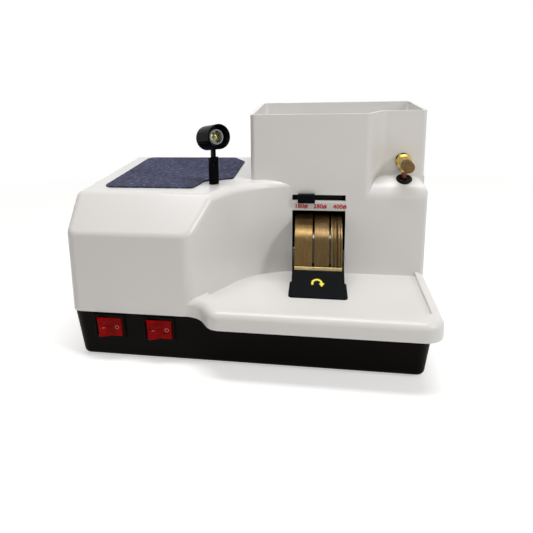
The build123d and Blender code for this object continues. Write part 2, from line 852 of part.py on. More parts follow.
def shaft_seal():
    """Lip seal where the spindle enters the housing."""
    inner = window_left_x - housing_side_gap
    return ring_on_spindle(seal_radius, shaft_radius + bearing_gap, inner - housing_wall, inner)


def guard():
    """Sheet-metal guard that stands on the tray ahead of the wheels and lifts off."""
    sheet = guard_sheet
    foot, floor = guard_front_y, tray_floor_z
    top, fold = floor + guard_rise, guard_back_y
    half, flange = guard_width / 2, guard_flange_width / 2
    length_y = fold - foot
    slope = math.atan2(guard_rise - sheet, length_y)
    drop = sheet / math.cos(slope)
    lip = top - guard_lip
    plate = ((foot, floor), (foot, floor + sheet), (fold, top), (fold + sheet, top), (fold + sheet, lip),
             (fold, lip), (fold, top - drop), (foot + sheet, floor))
    body = side(plate, (0,) * 8, work_x - half, work_x + half)
    cheek = ((foot, floor), (foot, floor + sheet), (fold, top), (fold + sheet, top), (fold + sheet, floor))
    for x in (work_x - half, work_x + half - sheet):
        body += side(cheek, (0,) * 5, x, x + sheet)
    tail = spindle_y - wheel_radius + guard_tail
    corner, left, right = guard_corner_radius, work_x - flange, work_x + flange
    feet = ((left, foot), (right, foot), (right, tail), (left, tail))
    base = plan(feet, (corner, corner, 1, 1), floor, floor + sheet)
    inner = (work_x - half + sheet, work_x + half - sheet)
    return body + base - slab(inner, (foot + 2 * sheet, tail + 1), (floor - 1, floor + sheet))


def lens_rest():
    """Brass strip on the back of the guard, close to the wheels, on which the lens is laid."""
    top = tray_floor_z + guard_rise + rest_proud
    half = rest_width / 2
    ys = (guard_back_y + guard_sheet, guard_back_y + guard_sheet + rest_thickness)
    strip = slab((work_x - half, work_x + half), ys, (top - rest_height, top))
    crown = strip.edges().filter_by(Axis.X).group_by(Axis.Z)[-1]
    return strip.fillet(rest_thickness / 3, crown)


def label_strip():
    """Three number stickers side by side between the window and the slot."""
    low = window_top_z + label_rise
    ends = (label_start, *label_cuts, window_width + label_over)
    stickers = []
    for start, end in zip(ends, ends[1:]):
        xs = (window_left_x + start + label_gap, window_left_x + end - label_gap)
        stickers.append(slab(xs, (wall_y - label_thickness, wall_y), (low, low + label_height)))
    return stickers


# ================================================================ wheels and spindle
def wheel_spans():
    """Left and right face of each wheel."""
    spans = []
    x = stack_x
    for width in wheel_widths:
        spans.append((x, x + width))
        x += width + spacer_width
    return spans


def wheel_centres():
    """Middle of each wheel."""
    return [(x0 + x1) / 2 for x0, x1 in wheel_spans()]


def flat_wheel(index):
    """Diamond rim of a plain wheel."""
    x0, x1 = wheel_spans()[index]
    rim = ring_on_spindle(wheel_radius, wheel_hub_radius, x0, x1)
    outer = rim.edges().filter_by(GeomType.CIRCLE).sort_by(SortBy.RADIUS)[-2:]
    return rim.chamfer(rim_chamfer, None, outer)


def groove(middle, width, deep):
    """Corners of a V-groove in the rim's section, from right to left."""
    half = width / 2
    return (middle + half, wheel_radius), (middle, wheel_radius - deep), (middle - half, wheel_radius)


def bevel_wheel():
    """Diamond rim with the V-groove that gives the lens its bevel, and fine grooves beside it."""
    x0, x1 = wheel_spans()[2]
    middle = (x0 + x1) / 2
    cuts = [(place, fine_groove_width, fine_groove_depth) for place in fine_groove_places]
    cuts.append((bevel_offset, bevel_width, bevel_depth))
    points = [(x0, wheel_radius), (x0, wheel_hub_radius), (x1, wheel_hub_radius), (x1, wheel_radius)]
    for place, width, deep in sorted(cuts, reverse=True):
        points += groove(middle + place, width, deep)
    rim = revolve(make_face(Polyline(*points, close=True)), Axis.X, 360)
    return Pos(0, spindle_y, spindle_z) * rim


def wheel_hubs():
    """Aluminium hubs inside the rims."""
    return [ring_on_spindle(wheel_hub_radius, shaft_radius, x0, x1) for x0, x1 in wheel_spans()]


def wheel_spacers():
    """Steel spacers between the wheels."""
    spans = wheel_spans()
    return [ring_on_spindle(spacer_radius, shaft_radius, spans[i][1], spans[i + 1][0]) for i in range(2)]


def clamp_flanges():
    """Flanges either side of the stack."""
    right = stack_x + stack_width
    return [ring_on_spindle(flange_radius, shaft_radius, stack_x - flange_width, stack_x),
            ring_on_spindle(flange_radius, shaft_radius, right, right + flange_width / 2)]


def wheel_nut():
    """Thin nut on the end of the spindle."""
    x = stack_x + stack_width + flange_width / 2
    plane = Plane(origin=(x, spindle_y, spindle_z), x_dir=(0, 1, 0), z_dir=(1, 0, 0))
    return plane * hexagon(nut_flat, nut_width) - on_spindle(shaft_radius, x - 1, x + nut_width + 1)


def spindle():
    """Motor shaft that runs on through the outboard bearing into the housing."""
    x1 = stack_x + stack_width + flange_width / 2 + nut_width
    shaft = on_spindle(shaft_radius, fan_left_x - shaft_tail, x1)
    collar_x = stack_x - flange_width
    collar = ring_on_spindle(shaft_radius + collar_rise, shaft_radius, collar_x - collar_width, collar_x)
    return shaft + collar


# ================================================================ motor
def motor_shell():
    """Round shell between the end caps."""
    x0, x1 = motor_left_x + end_cap_length, motor_right_x - end_cap_length
    return ring_on_spindle(motor_radius, motor_radius - motor_wall, x0, x1)


def motor_end_caps():
    """End caps with a bearing seat each."""
    caps = []
    for outer_x, inward in ((motor_left_x, 1), (motor_right_x, -1)):
        inner_x = outer_x + inward * end_cap_length
        cap = on_spindle(motor_radius, *sorted((outer_x, inner_x)))
        spigot = sorted((inner_x, inner_x + inward * end_cap_spigot))
        cap += ring_on_spindle(motor_radius - motor_wall, motor_radius - 2 * motor_wall, *spigot)
        cap -= on_spindle(bearing_radius, *sorted((inner_x, inner_x - inward * bearing_width)))
        cap -= on_spindle(shaft_radius + 1, *sorted((outer_x - inward, inner_x)))
        caps.append(cap)
    return caps


def motor_bearings():
    """Ball bearings in the end caps, drawn as plain rings."""
    x0 = motor_left_x + end_cap_length
    x1 = motor_right_x - end_cap_length
    inner = shaft_radius + bearing_gap
    return [ring_on_spindle(bearing_radius, inner, x0 - bearing_width, x0),
            ring_on_spindle(bearing_radius, inner, x1, x1 + bearing_width)]


def stator_core():
    """Laminated stator with slots for the windings."""
    outer, inner = motor_radius - motor_wall, rotor_radius + air_gap
    core = ring_on_spindle(outer, inner, stator_x0, stator_x1)
    slot = Box(stator_slot_length, stator_slot_width, 2 * stator_length + 2)
    reach = inner + (outer - inner) * stator_slot_share
    for number in range(stator_slots):
        turn = math.radians(360 * (number + 0.5) / stator_slots)
        across = Vector(0, math.cos(turn), math.sin(turn))
        middle = Vector(stator_x0, spindle_y, spindle_z) + across * reach
        core -= Plane(origin=middle, x_dir=across, z_dir=(1, 0, 0)) * slot
    return core


def motor_windings():
    """Copper end turns on both faces of the stator."""
    outer, inner = motor_radius - 3 * motor_wall, rotor_radius + 4 * air_gap
    left = ring_on_spindle(outer, inner, stator_x0 - winding_length, stator_x0)
    right = ring_on_spindle(outer, inner, stator_x1, stator_x1 + winding_length)
    return [coil.fillet(winding_edge, coil.edges().filter_by(GeomType.CIRCLE)) for coil in (left, right)]


def rotor():
    """Rotor on the shaft."""
    return ring_on_spindle(rotor_radius, shaft_radius, stator_x0, stator_x1)


def motor_fan():
    """Cooling fan on the shaft's left end."""
    right, root = fan_left_x + fan_width, fan_hub_radius - 1
    fan = ring_on_spindle(fan_hub_radius, shaft_radius, fan_left_x, right)
    fan += ring_on_spindle(fan_radius, root, right - fan_disc, right)
    blade = Box(fan_radius - root, fan_disc, fan_width)
    centre, reach = Vector(fan_left_x + fan_width / 2, spindle_y, spindle_z), (fan_radius + root - 1) / 2
    for number in range(fan_blades):
        turn = math.radians(360 * number / fan_blades)
        across = Vector(0, math.cos(turn), math.sin(turn))
        fan += Plane(origin=centre + across * reach, x_dir=across, z_dir=(1, 0, 0)) * blade
    return fan


def fan_cover():
    """Cup over the fan, slotted at its end."""
    x0, x1 = motor_left_x - fan_cover_length, motor_left_x
    sheet = motor_wall / 2
    cover = on_spindle(motor_radius, x0, x1) - on_spindle(motor_radius - sheet, x0 + sheet, x1)
    half = cover_slot_width / 2
    for number in range(cover_slots):
        rise = (number - (cover_slots - 1) / 2) * cover_slot_pitch
        reach, z = math.sqrt((motor_radius - cover_rim) ** 2 - rise**2), spindle_z + rise
        cover -= slab((x0 - 1, x0 + sheet + 1), (spindle_y - reach, spindle_y + reach), (z - half, z + half))
    return cover


def cradle_spans():
    """X limits of the cradle's two saddles."""
    x0, x1 = motor_left_x + end_cap_length + saddle_inset, motor_right_x - end_cap_length - saddle_inset
    return (x0, x0 + saddle_width), (x1 - saddle_width, x1)


def motor_cradle():
    """Steel cradle on the tub's floor that carries the motor."""
    x0, x1 = cradle_spans()[0][0], cradle_spans()[1][1]
    ys = (spindle_y - saddle_reach, spindle_y + saddle_reach)
    body = slab((x0, x1), ys, (tub_floor_z, tub_floor_z + cradle_plate))
    for span in cradle_spans():
        body += slab(span, ys, (tub_floor_z, strap_z))
    return body - on_spindle(motor_radius, x0 - 1, x1 + 1)


def cradle_straps():
    """Half-round straps over the motor, screwed to the saddles."""
    straps = []
    reach = motor_radius + strap_sheet
    for span in cradle_spans():
        wide = (span[0] - 1, span[1] + 1)
        strap = on_spindle(reach, *span)
        strap -= slab(wide, (spindle_y - 2 * reach, spindle_y + 2 * reach), (spindle_z - 2 * reach, strap_z))
        ears = (spindle_y - saddle_reach, spindle_y + saddle_reach)
        strap += slab(span, ears, (strap_z, strap_z + strap_sheet))
        strap -= on_spindle(motor_radius, *wide)
        x = sum(span) / 2
        for y in strap_screw_places():
            strap -= rod(strap_screw_radius, (x, y, strap_z - 1), (x, y, strap_z + strap_sheet + 1))
        straps.append(strap)
    return straps


def strap_screw_places():
    """Y of the strap screws."""
    reach = saddle_reach - strap_screw_inset
    return spindle_y - reach, spindle_y + reach


def strap_screws():
    """Four small screws that hold the straps down."""
    screws = []
    for span in cradle_spans():
        x = sum(span) / 2
        for y in strap_screw_places():
            top = strap_z + strap_sheet
            shank = rod(strap_screw_radius, (x, y, strap_z), (x, y, top + 0.5))
            screws.append(shank + rod(strap_head_radius, (x, y, top), (x, y, top + strap_head_height)))
    return screws


def bearing_stand():
    """Stand that holds the outboard bearing."""
    xs = (stand_x - stand_width / 2, stand_x + stand_width / 2)
    foot_xs = (stand_x - stand_foot_width / 2, stand_x + stand_foot_width / 2)
    foot_ys = (spindle_y - stand_foot_front, spindle_y + stand_foot_back)
    foot = slab(foot_xs, foot_ys, (tub_floor_z, tub_floor_z + stand_foot_height))
    post = slab(xs, (spindle_y - stand_half_depth, spindle_y + stand_half_depth), (tub_floor_z, spindle_z))
    body = foot + post + on_spindle(bearing_radius + stand_rim, *xs)
    body -= on_spindle(bearing_radius, stand_x - bearing_width / 2, xs[1] + 1)
    return body - on_spindle(shaft_radius + 2, xs[0] - 1, xs[1])


def outboard_bearing():
    """Ball bearing in the stand."""
    return ring_on_spindle(bearing_radius, shaft_radius + bearing_gap, stand_x - bearing_width / 2,
                           stand_x + bearing_width / 2)


def capacitor():
    """Running capacitor lying behind the motor, with its two blades."""
    end_x = capacitor_x + capacitor_length
    can = rod(capacitor_radius, (capacitor_x, capacitor_y, capacitor_z), (end_x, capacitor_y, capacitor_z))
    can = can.fillet(2, can.edges().filter_by(GeomType.CIRCLE))
    half, zs = blade_thickness / 2, (capacitor_z - blade_width / 2, capacitor_z + blade_width / 2)
    for y in (capacitor_y - 4, capacitor_y + 4):
        can += slab((end_x - 1, end_x + blade_length), (y - half, y + half), zs)
    return can


def capacitor_clip():
    """Saddle clip that holds the capacitor to the tub's floor."""
    radius, y, z = capacitor_radius, capacitor_y, capacitor_z
    x0 = capacitor_x + clip_start
    x1 = x0 + clip_width
    ring = rod(radius + strap_sheet, (x0, y, z), (x1, y, z))
    base = slab((x0, x1), (y - clip_half_depth, y + clip_half_depth), (tub_floor_z, z - clip_drop))
    cut = rod(radius, (x0 - 1, y, z), (x1 + 1, y, z))
    mouth = slab((x0 - 1, x1 + 1), (y - clip_mouth, y + clip_mouth), (z, z + 2 * radius))
    return ring + base - cut - mouth


# ================================================================ selector and water
def selector_gate():
    """Sliding bar that opens one jet at a time, with the stem that passes the slot."""
    ys = (nozzle_y - gate_depth / 2, nozzle_y + gate_depth / 2)
    zs = (gate_z + gate_gap, gate_z + gate_gap + gate_height)
    bar = slab((knob_x - gate_length / 2, knob_x + gate_length / 2), ys, zs)
    bar = bar.chamfer(gate_bevel, None, bar.edges().filter_by(Axis.X).group_by(Axis.Z)[-1].sort_by(Axis.Y)[:1])
    middle = slot_z + slot_height / 2
    stem = slab((knob_x - stem_width / 2, knob_x + stem_width / 2), (knob_back_y - knob_depth / 2, ys[0]),
                (middle - stem_height / 2, middle + stem_height / 2))
    port_xs = (knob_x - port_width / 2, knob_x + port_width / 2)
    port = slab(port_xs, (nozzle_y - 1, ys[1] + 1), (zs[0] - 1, middle + jet_radius))
    return bar + stem - port


def selector_knob():
    """Ribbed knob on the stem."""
    middle = slot_z + slot_height / 2
    xs = (knob_x - knob_width / 2, knob_x + knob_width / 2)
    zs = (middle - knob_height / 2, middle + knob_height / 2)
    front = knob_back_y - knob_depth
    body = slab(xs, (front, knob_back_y), zs)
    body = body.fillet(1, body.edges().filter_by(Axis.Y))
    pitch, wide = knob_width / (knob_ribs + 1), knob_groove_width / 2
    for number in range(knob_ribs):
        x = xs[0] + pitch * (number + 1)
        body -= slab((x - wide, x + wide), (front - 1, front + knob_groove_depth), (zs[0] - 1, zs[1] + 1))
    half, rise = stem_width / 2, stem_height / 2
    pocket_ys = (knob_back_y - knob_depth / 2, knob_back_y + 1)
    return body - slab((knob_x - half, knob_x + half), pocket_ys, (middle - rise, middle + rise))


def water_manifold():
    """Block on the housing that feeds the three jets past the gate."""
    xs = (window_left_x - manifold_margin, window_right_x + manifold_margin)
    front = nozzle_y - gate_depth / 2 - gate_gap
    body = slab(xs, (front, front + manifold_depth), (housing_top_z, housing_top_z + manifold_height))
    channel = (front - 1, front + gate_depth + 2 * gate_gap)
    body -= slab((xs[0] - 1, xs[1] + 1), channel, (gate_z, gate_z + gate_height + 2 * gate_gap))
    middle = slot_z + slot_height / 2
    elbow_x = xs[1] + inlet_from_manifold
    elbow = tube_radius + manifold_wall
    body += rod(elbow, (xs[1] - 1, inlet_y, middle), (elbow_x, inlet_y, middle))
    body += Pos(elbow_x, inlet_y, middle) * Sphere(elbow)
    body += rod(tube_radius, (elbow_x, inlet_y, middle), (elbow_x, inlet_y, barb_z))
    for x in wheel_centres():
        body += rod(nozzle_radius, (x, nozzle_y, housing_top_z - 5), (x, nozzle_y, housing_top_z + 1))
        body -= rod(jet_radius, (x, nozzle_y, housing_top_z - 6), (x, nozzle_y, gate_z + 1))
        body -= rod(jet_radius, (x, front + gate_depth, middle), (x, inlet_y, middle))
    body -= rod(jet_radius, (xs[0] + 4, inlet_y, middle), (elbow_x, inlet_y, middle))
    return body - rod(jet_radius, (elbow_x, inlet_y, middle), (elbow_x, inlet_y, barb_z - 1))


def water_hose():
    """Soft hose in one bend from the copper tube's end to the manifold's barb."""
    start = Vector(valve_x, tube_y, hose_top_z)
    end = Vector(window_right_x + manifold_margin + inlet_from_manifold, inlet_y, barb_z + hose_grip)
    across = Vector(end.X - start.X, end.Y - start.Y, 0)
    radius = across.length / 2
    turn_z = barb_z - hose_rise
    first = Vector(start.X, start.Y, turn_z)
    last = Vector(end.X, end.Y, turn_z)
    low = (first + last) * 0.5 - Vector(0, 0, radius)
    bend = Edge.make_three_point_arc(first, low, last)
    path = Wire([Edge.make_line(start, first), bend, Edge.make_line(last, end)])
    plane = Plane(origin=start, z_dir=(0, 0, -1))
    outer = sweep(plane * Circle(hose_radius), path=path)
    inner = sweep(plane * Circle(tube_radius), path=path)
    return outer - inner


def drain_hose():
    """Hose from the housing's spout to the outlet in the tub's back."""
    start = Vector(work_x, housing_back_y + 2, spout_z)
    end = Vector(work_x, niche_y - niche_wall - 2, outlet_z)
    drop = spout_z - outlet_z
    middle = (start + end) * 0.5
    bend = drop / 2 / (1 - math.cos(math.radians(drain_turn)))
    reach = bend * math.sin(math.radians(drain_turn))
    first = Vector(work_x, middle.Y - reach, spout_z)
    last = Vector(work_x, middle.Y + reach, outlet_z)
    half = math.radians(drain_turn / 2)
    along, down = bend * math.sin(half), bend * (1 - math.cos(half))
    high = Vector(work_x, first.Y + along, spout_z - down)
    low = Vector(work_x, last.Y - along, outlet_z + down)
    path = Wire([Edge.make_line(start, first), Edge.make_three_point_arc(first, high, middle),
                 Edge.make_three_point_arc(middle, low, last), Edge.make_line(last, end)])
    plane = Plane(origin=start, z_dir=(0, 1, 0))
    outer = sweep(plane * Circle(drain_hose_radius), path=path)
    inner = sweep(plane * Circle(outlet_bore + outlet_wall), path=path)
    return outer - inner


def drain_outlet():
    """Spigot through the tub's back, for the drain tube of the shop."""
    inside, outside = niche_y - niche_wall, niche_y
    x, z, start, end = work_x, outlet_z, inside - outlet_inside, outside + outlet_length
    body = rod(outlet_bore + outlet_wall, (x, start, z), (x, end, z))
    body += rod(outlet_radius, (x, inside, z), (x, outside, z))
    body += rod(outlet_radius + outlet_collar, (x, outside, z), (x, outside + outlet_collar_width, z))
    return body - rod(outlet_bore, (x, start - 1, z), (x, end + 1, z))


def along_valve(radius, start, end):
    """Round bar on the valve's axis between two distances from the bay's wall, outward positive."""
    return rod(radius, (valve_x, bay_y - start, valve_z), (valve_x, bay_y - end, valve_z))


def valve_body():
    """Brass body: shank through the tank, collars, barrel, neck for the cap and boss for the tube."""
    plane = Plane(origin=(valve_x, bay_y - washer_thickness, valve_z), x_dir=(1, 0, 0), z_dir=(0, -1, 0))
    body = plane * hexagon(valve_flats, valve_hex_thickness)
    shank_end = -casing_wall - valve_shank_length
    body += along_valve(valve_shank_radius, shank_end, washer_thickness + 1)
    start, half = washer_thickness + valve_hex_thickness, valve_bead_width / 2
    for number in range(valve_bead_count):
        body += cone_on_valve(valve_waist_radius, valve_bead_radius, start, start + half)
        body += cone_on_valve(valve_bead_radius, valve_waist_radius, start + half, start + valve_bead_width)
        start += valve_bead_width
    body += cone_on_valve(barrel_start_radius, barrel_end_radius, start, valve_cap_start - barrel_gap)
    neck_end = valve_cap_start + neck_length
    body += along_valve(neck_radius, valve_cap_start - 2, neck_end)
    body += rod(boss_radius, (valve_x, tube_y, valve_z), (valve_x, tube_y, valve_z - boss_length))
    body -= along_valve(needle_radius + bearing_gap, needle_seat, neck_end + 1)
    body -= along_valve(chamber_radius, needle_seat, bay_y - tube_y + 2)
    body -= along_valve(seat_bore, shank_end - 1, needle_seat)
    low = valve_z - boss_length - 1
    body -= rod(tube_bore, (valve_x, tube_y, valve_z), (valve_x, tube_y, low))
    return body - rod(tube_radius, (valve_x, tube_y, valve_z - tube_grip), (valve_x, tube_y, low))


def cone_on_valve(radius_start, radius_end, start, end):
    """Cone on the valve's axis between two distances from the bay's wall."""
    return cone(radius_start, radius_end, (valve_x, bay_y - start, valve_z), (valve_x, bay_y - end, valve_z))


def valve_cap():
    """Knurled cap that is turned by hand and carries the needle."""
    start, end = valve_cap_start, valve_cap_start + valve_cap_length
    cap = along_valve(valve_cap_radius, start, end)
    cap -= along_valve(neck_radius + bearing_gap, start - 1, start + neck_length + running_gap)
    cap -= along_valve(needle_radius + bearing_gap, start, needle_end + bearing_gap)
    reach = valve_cap_radius + flute_radius / 3
    for number in range(flute_count):
        turn = 2 * math.pi * number / flute_count
        x, z = valve_x + reach * math.cos(turn), valve_z + reach * math.sin(turn)
        cap -= rod(flute_radius, (x, bay_y - start + 1, z), (x, bay_y - end + flute_end, z))
    return cap


def valve_needle():
    """Needle that closes the valve, held in the cap."""
    return along_valve(needle_radius, needle_seat + bearing_gap, needle_end)


def valve_washer():
    """Dark rubber washer against the tank's wall."""
    bore = along_valve(valve_shank_radius, -1, washer_thickness + 1)
    return along_valve(washer_radius, 0, washer_thickness) - bore


def valve_nut():
    """Nut inside the tank."""
    plane = Plane(origin=(valve_x, bay_y + casing_wall, valve_z), x_dir=(1, 0, 0), z_dir=(0, 1, 0))
    bore = along_valve(valve_shank_radius, 0, -casing_wall - valve_shank_length - 1)
    return plane * hexagon(valve_flats, valve_nut_thickness) - bore


def copper_tube():
    """Copper tube from the valve down through the grommet."""
    top, low = valve_z - tube_grip, hose_top_z - hose_grip
    return pipe(tube_radius, tube_bore, (valve_x, tube_y, low), (valve_x, tube_y, top))


def tube_grommet():
    """Glossy rubber grommet that seals the tube on the rolled shoulder."""
    place, out = bay_normal()
    roll, wide = shoulder_front_radius, 2 * grommet_radius
    dome = rod(grommet_radius, place - out * 2 * casing_wall, place + out * grommet_proud)
    dome = dome.fillet(grommet_edge, dome.edges().filter_by(GeomType.CIRCLE).sort_by(Axis.Z)[-1:])
    centre_y, centre_z = wall_y + roll, block_top_z - roll
    across = (valve_x - wide, centre_y, centre_z), (valve_x + wide, centre_y, centre_z)
    flat = slab((valve_x - wide, valve_x + wide), (centre_y, centre_y + wide), (centre_z, block_top_z))
    dome -= rod(roll, *across) + flat
    neck = rod(grommet_neck_radius, place - out * (casing_wall + 2), place + out)
    flange = rod(grommet_radius - 1, place - out * 2 * casing_wall, place)
    flange &= rod(roll - casing_wall, *across)
    body = dome + neck + flange
    return body - rod(tube_radius, (valve_x, tube_y, centre_z), (valve_x, tube_y, block_top_z + roll))


# ================================================================ work light
def lamp_plane(height=0.0):
    """Plane at the post: X across the light, Y to its back, Z up."""
    turn = math.radians(lamp_heading)
    return Plane(origin=(lamp_x, lamp_y, block_top_z + height), x_dir=(math.cos(turn), math.sin(turn), 0),
                 z_dir=(0, 0, 1))


def head_plane():
    """Plane at the middle of the head: Z along its axis to the front, X across."""
    frame = lamp_plane(head_height)
    tilt = math.radians(lamp_tilt)
    axis = frame.y_dir * -math.cos(tilt) + frame.z_dir * math.sin(tilt)
    return Plane(origin=frame.origin, x_dir=frame.x_dir, z_dir=axis)


def lamp_post():
    """Flat post with a fork at its top and a stud below."""
    half = post_width / 2
    section = RectangleRounded(post_width, post_thickness, 1.5)
    post = Pos(0, 0, running_gap) * extrude(section, post_height - running_gap)
    slot = tongue_width / 2 + fork_gap
    post -= slab((-slot, slot), (-post_thickness, post_thickness), (pin_height - 4.4, post_height + 1))
    ends = (-half - 1, 0, pin_height), (half + 1, 0, pin_height)
    above = slab((-half - 1, half + 1), (-post_thickness, post_thickness), (pin_height, post_height + 1))
    post -= above - rod(post_height - pin_height, *ends)
    post -= rod(pin_radius, *ends)
    post -= slab((-0.6, 2.2), (-post_thickness, 0), (0, 1.4))
    stud_low = -casing_wall - bush_flange - running_gap - 2 * post_nut_height
    post += rod(stud_radius, (0, 0, stud_low), (0, 0, 2))
    return lamp_plane() * post


def lamp_pin():
    """Pin of the fork."""
    half = post_width / 2
    return lamp_plane() * rod(pin_radius, (-half, 0, pin_height), (half, 0, pin_height))


def lamp_bush():
    """Bush in the casing's top on which the post turns."""
    low = -casing_wall - bush_flange
    bush = rod(bush_radius, (0, 0, -casing_wall), (0, 0, 0))
    bush += rod(bush_flange_radius, (0, 0, low), (0, 0, -casing_wall))
    return lamp_plane() * (bush - rod(stud_radius + bearing_gap, (0, 0, low - 1), (0, 0, 1)))


def lamp_post_nut():
    """Nut on the stud under the bush."""
    low = -casing_wall - bush_flange - running_gap - post_nut_height
    nut = Pos(0, 0, low) * hexagon(post_nut_flats, post_nut_height)
    return lamp_plane() * (nut - rod(stud_radius, (0, 0, low - 1), (0, 0, 0)))


def lamp_head():
    """Barrel of the light with the tongue that turns in the fork."""
    half = head_length / 2
    plane = head_plane()
    barrel = rod(head_radius, (0, 0, -half), (0, 0, half - bezel_ring))
    barrel = barrel.fillet(1.5, barrel.edges().filter_by(GeomType.CIRCLE).sort_by(Axis.Z)[:1])
    grooves = 8
    for number in range(grooves):
        turn = 2 * math.pi * (number + 0.5) / grooves
        x, y = (head_radius + 0.1) * math.cos(turn), (head_radius + 0.1) * math.sin(turn)
        barrel -= rod(0.5, (x, y, -half - 1), (x, y, half - bezel_ring - 2))
    cavity = rod(head_radius - head_wall, (0, 0, -half + 2), (0, 0, half))
    tongue_half = tongue_width / 2
    eye = rod(eye_radius, (-tongue_half, 0, pin_height), (tongue_half, 0, pin_height))
    neck_half = post_thickness / 2 - 0.4
    neck_top = head_height - head_radius + 1
    neck = slab((-tongue_half, tongue_half), (-neck_half, neck_half), (pin_height, neck_top))
    bore = rod(pin_radius + bearing_gap, (-post_width, 0, pin_height), (post_width, 0, pin_height))
    tongue = lamp_plane() * (eye + neck - bore)
    return plane * barrel + tongue - plane * cavity


def lamp_bezel():
    """Front ring with a deep funnel."""
    half = head_length / 2
    ring = rod(head_radius, (0, 0, half - bezel_ring), (0, 0, half))
    ring = ring.fillet(0.8, ring.edges().filter_by(GeomType.CIRCLE).sort_by(Axis.Z)[-1:])
    ring += rod(head_radius - head_wall, (0, 0, half - funnel_depth), (0, 0, half - bezel_ring + 0.5))
    ring -= cone(lens_radius + 1.2, head_radius - 1, (0, 0, half - funnel_depth), (0, 0, half))
    return head_plane() * ring


def lamp_reflector():
    """Bright cup round the lens."""
    front = head_length / 2 - funnel_depth
    low = front - cup_depth
    cup = cone(4.5, lens_radius + 2.4, (0, 0, low), (0, 0, front))
    cup -= cone(3.5, lens_radius + bearing_gap, (0, 0, low), (0, 0, front - lens_thickness))
    cup -= rod(lens_radius, (0, 0, front - lens_thickness), (0, 0, front + 1))
    return head_plane() * cup


def lamp_lens():
    """Clear disc in front of the chips."""
    front = head_length / 2 - funnel_depth
    return head_plane() * rod(lens_radius, (0, 0, front - lens_thickness), (0, 0, front))


def lamp_board():
    """Round board with two light chips."""
    front = head_length / 2 - funnel_depth - cup_depth
    board = rod(head_radius - head_wall, (0, 0, front - board_thickness), (0, 0, front))
    wide, tall = chip_width / 2, chip_height / 2
    for x in (-chip_pitch / 2, chip_pitch / 2):
        board += slab((x - wide, x + wide), (-tall, tall), (front - 0.5, front + board_thickness / 2))
    return head_plane() * board


def lamp_driver():
    """Small supply for the light on the tub's floor."""
    xs, ys = (stand_x + driver_left, stand_x + driver_right), (back_y - driver_front, back_y - driver_back)
    case = slab(xs, ys, (tub_floor_z, tub_floor_z + driver_height))
    return case.fillet(1.5, case.edges().filter_by(Axis.Z))


# ================================================================ switches and power inlet
def switch_body(x):
    """Black body of a rocker switch with its frame on the tub's front."""
    bezel = extrude(RectangleRounded(bezel_width, bezel_height, 1.5), bezel_thickness)
    bezel = bezel.fillet(0.6, bezel.edges().group_by(Axis.Z)[-1])
    half, rise = switch_body_width / 2, switch_body_height / 2
    body = slab((-half, half), (-rise, rise), (-switch_body_depth, 0))
    wide, high = rocker_radius + running_gap, rocker_height / 2 + running_gap
    space = slab((-wide, wide), (-high, high), (-pivot_depth - rocker_space, bezel_thickness + 1))
    pivot = rod(trunnion_radius + bearing_gap, (0, -high - 0.9, -pivot_depth), (0, high + 0.9, -pivot_depth))
    return switch_plane(x) * (bezel + body - space - pivot)


def rocker(x):
    """Rocker with a shallow V face, turned so that its left end stands out."""
    half = rocker_height / 2
    run, low, high = rocker_slope_run, -rocker_floor, rocker_face + rocker_slope
    face = (-run, high), (0, rocker_face), (run, high), (run, low), (-run, low)
    profile = make_face(Polyline(*face, close=True)) & Circle(rocker_radius)
    upright = Plane(origin=(0, half, 0), x_dir=(1, 0, 0), z_dir=(0, -1, 0))
    body = upright * extrude(profile, rocker_height)
    ends = [edge for edge in body.edges() if abs(edge.center().Y) < 0.1 and edge.center().Z > 4]
    body = body.fillet(0.6, ends)
    body += rod(trunnion_radius, (0, -half - 0.8, 0), (0, half + 0.8, 0))
    return switch_plane(x) * (Pos(0, 0, -pivot_depth) * (Rot(0, rocker_rest_angle, 0) * body))


def switch_terminals():
    """Blade terminals behind both switches."""
    blades = []
    half, thin = blade_width / 2, blade_thickness / 2
    depth_span = (-switch_body_depth - blade_length, -switch_body_depth)
    for x in switch_places():
        for across in blade_places:
            for rise in blade_rows:
                blade = slab((across - half, across + half), (rise - thin, rise + thin), depth_span)
                blades.append(switch_plane(x) * blade)
    return blades


def power_inlet():
    """Power inlet in the niche, with its socket to the back."""
    low, high = inlet_z - inlet_flange_height / 2, inlet_z + inlet_flange_height / 2
    half = inlet_flange_width / 2
    flange = slab((niche_x - half, niche_x + half), (niche_y, niche_y + inlet_flange), (low, high))
    flange = flange.fillet(inlet_flange_corner, flange.edges().filter_by(Axis.Y))
    body = slab((niche_x - inlet_width / 2, niche_x + inlet_width / 2), (niche_y - inlet_depth, niche_y + 1),
                (inlet_z - inlet_height / 2, inlet_z + inlet_height / 2))
    wide, high = inlet_width / 2 - socket_wall, inlet_height / 2 - socket_wall
    bottom, cut = niche_y + inlet_flange - socket_depth, socket_cut
    points = ((-wide, -high), (wide, -high), (wide, high - cut), (wide - cut, high), (cut - wide, high),
              (-wide, high - cut))
    plane = Plane(origin=(niche_x, bottom, inlet_z), x_dir=(-1, 0, 0), z_dir=(0, 1, 0))
    space = plane * extrude(make_face(Polyline(*points, close=True)), socket_depth + 1)
    body = body + flange - space
    for x in inlet_screw_places():
        body -= rod(inlet_screw_radius, (x, niche_y - 1, inlet_z), (x, niche_y + inlet_flange + 1, inlet_z))
    return body - inlet_pin_shapes()


def inlet_pin_shapes():
    """Three blades of the inlet, as one shape."""
    ys = (niche_y - inlet_depth - pin_back, niche_y + inlet_flange - pin_sunk)
    pins = []
    for across, rise in pin_places:
        x, z = niche_x + across, inlet_z + rise
        pins.append(slab((x - pin_width / 2, x + pin_width / 2), ys, (z - pin_tall / 2, z + pin_tall / 2)))
    return pins[0] + pins[1] + pins[2]


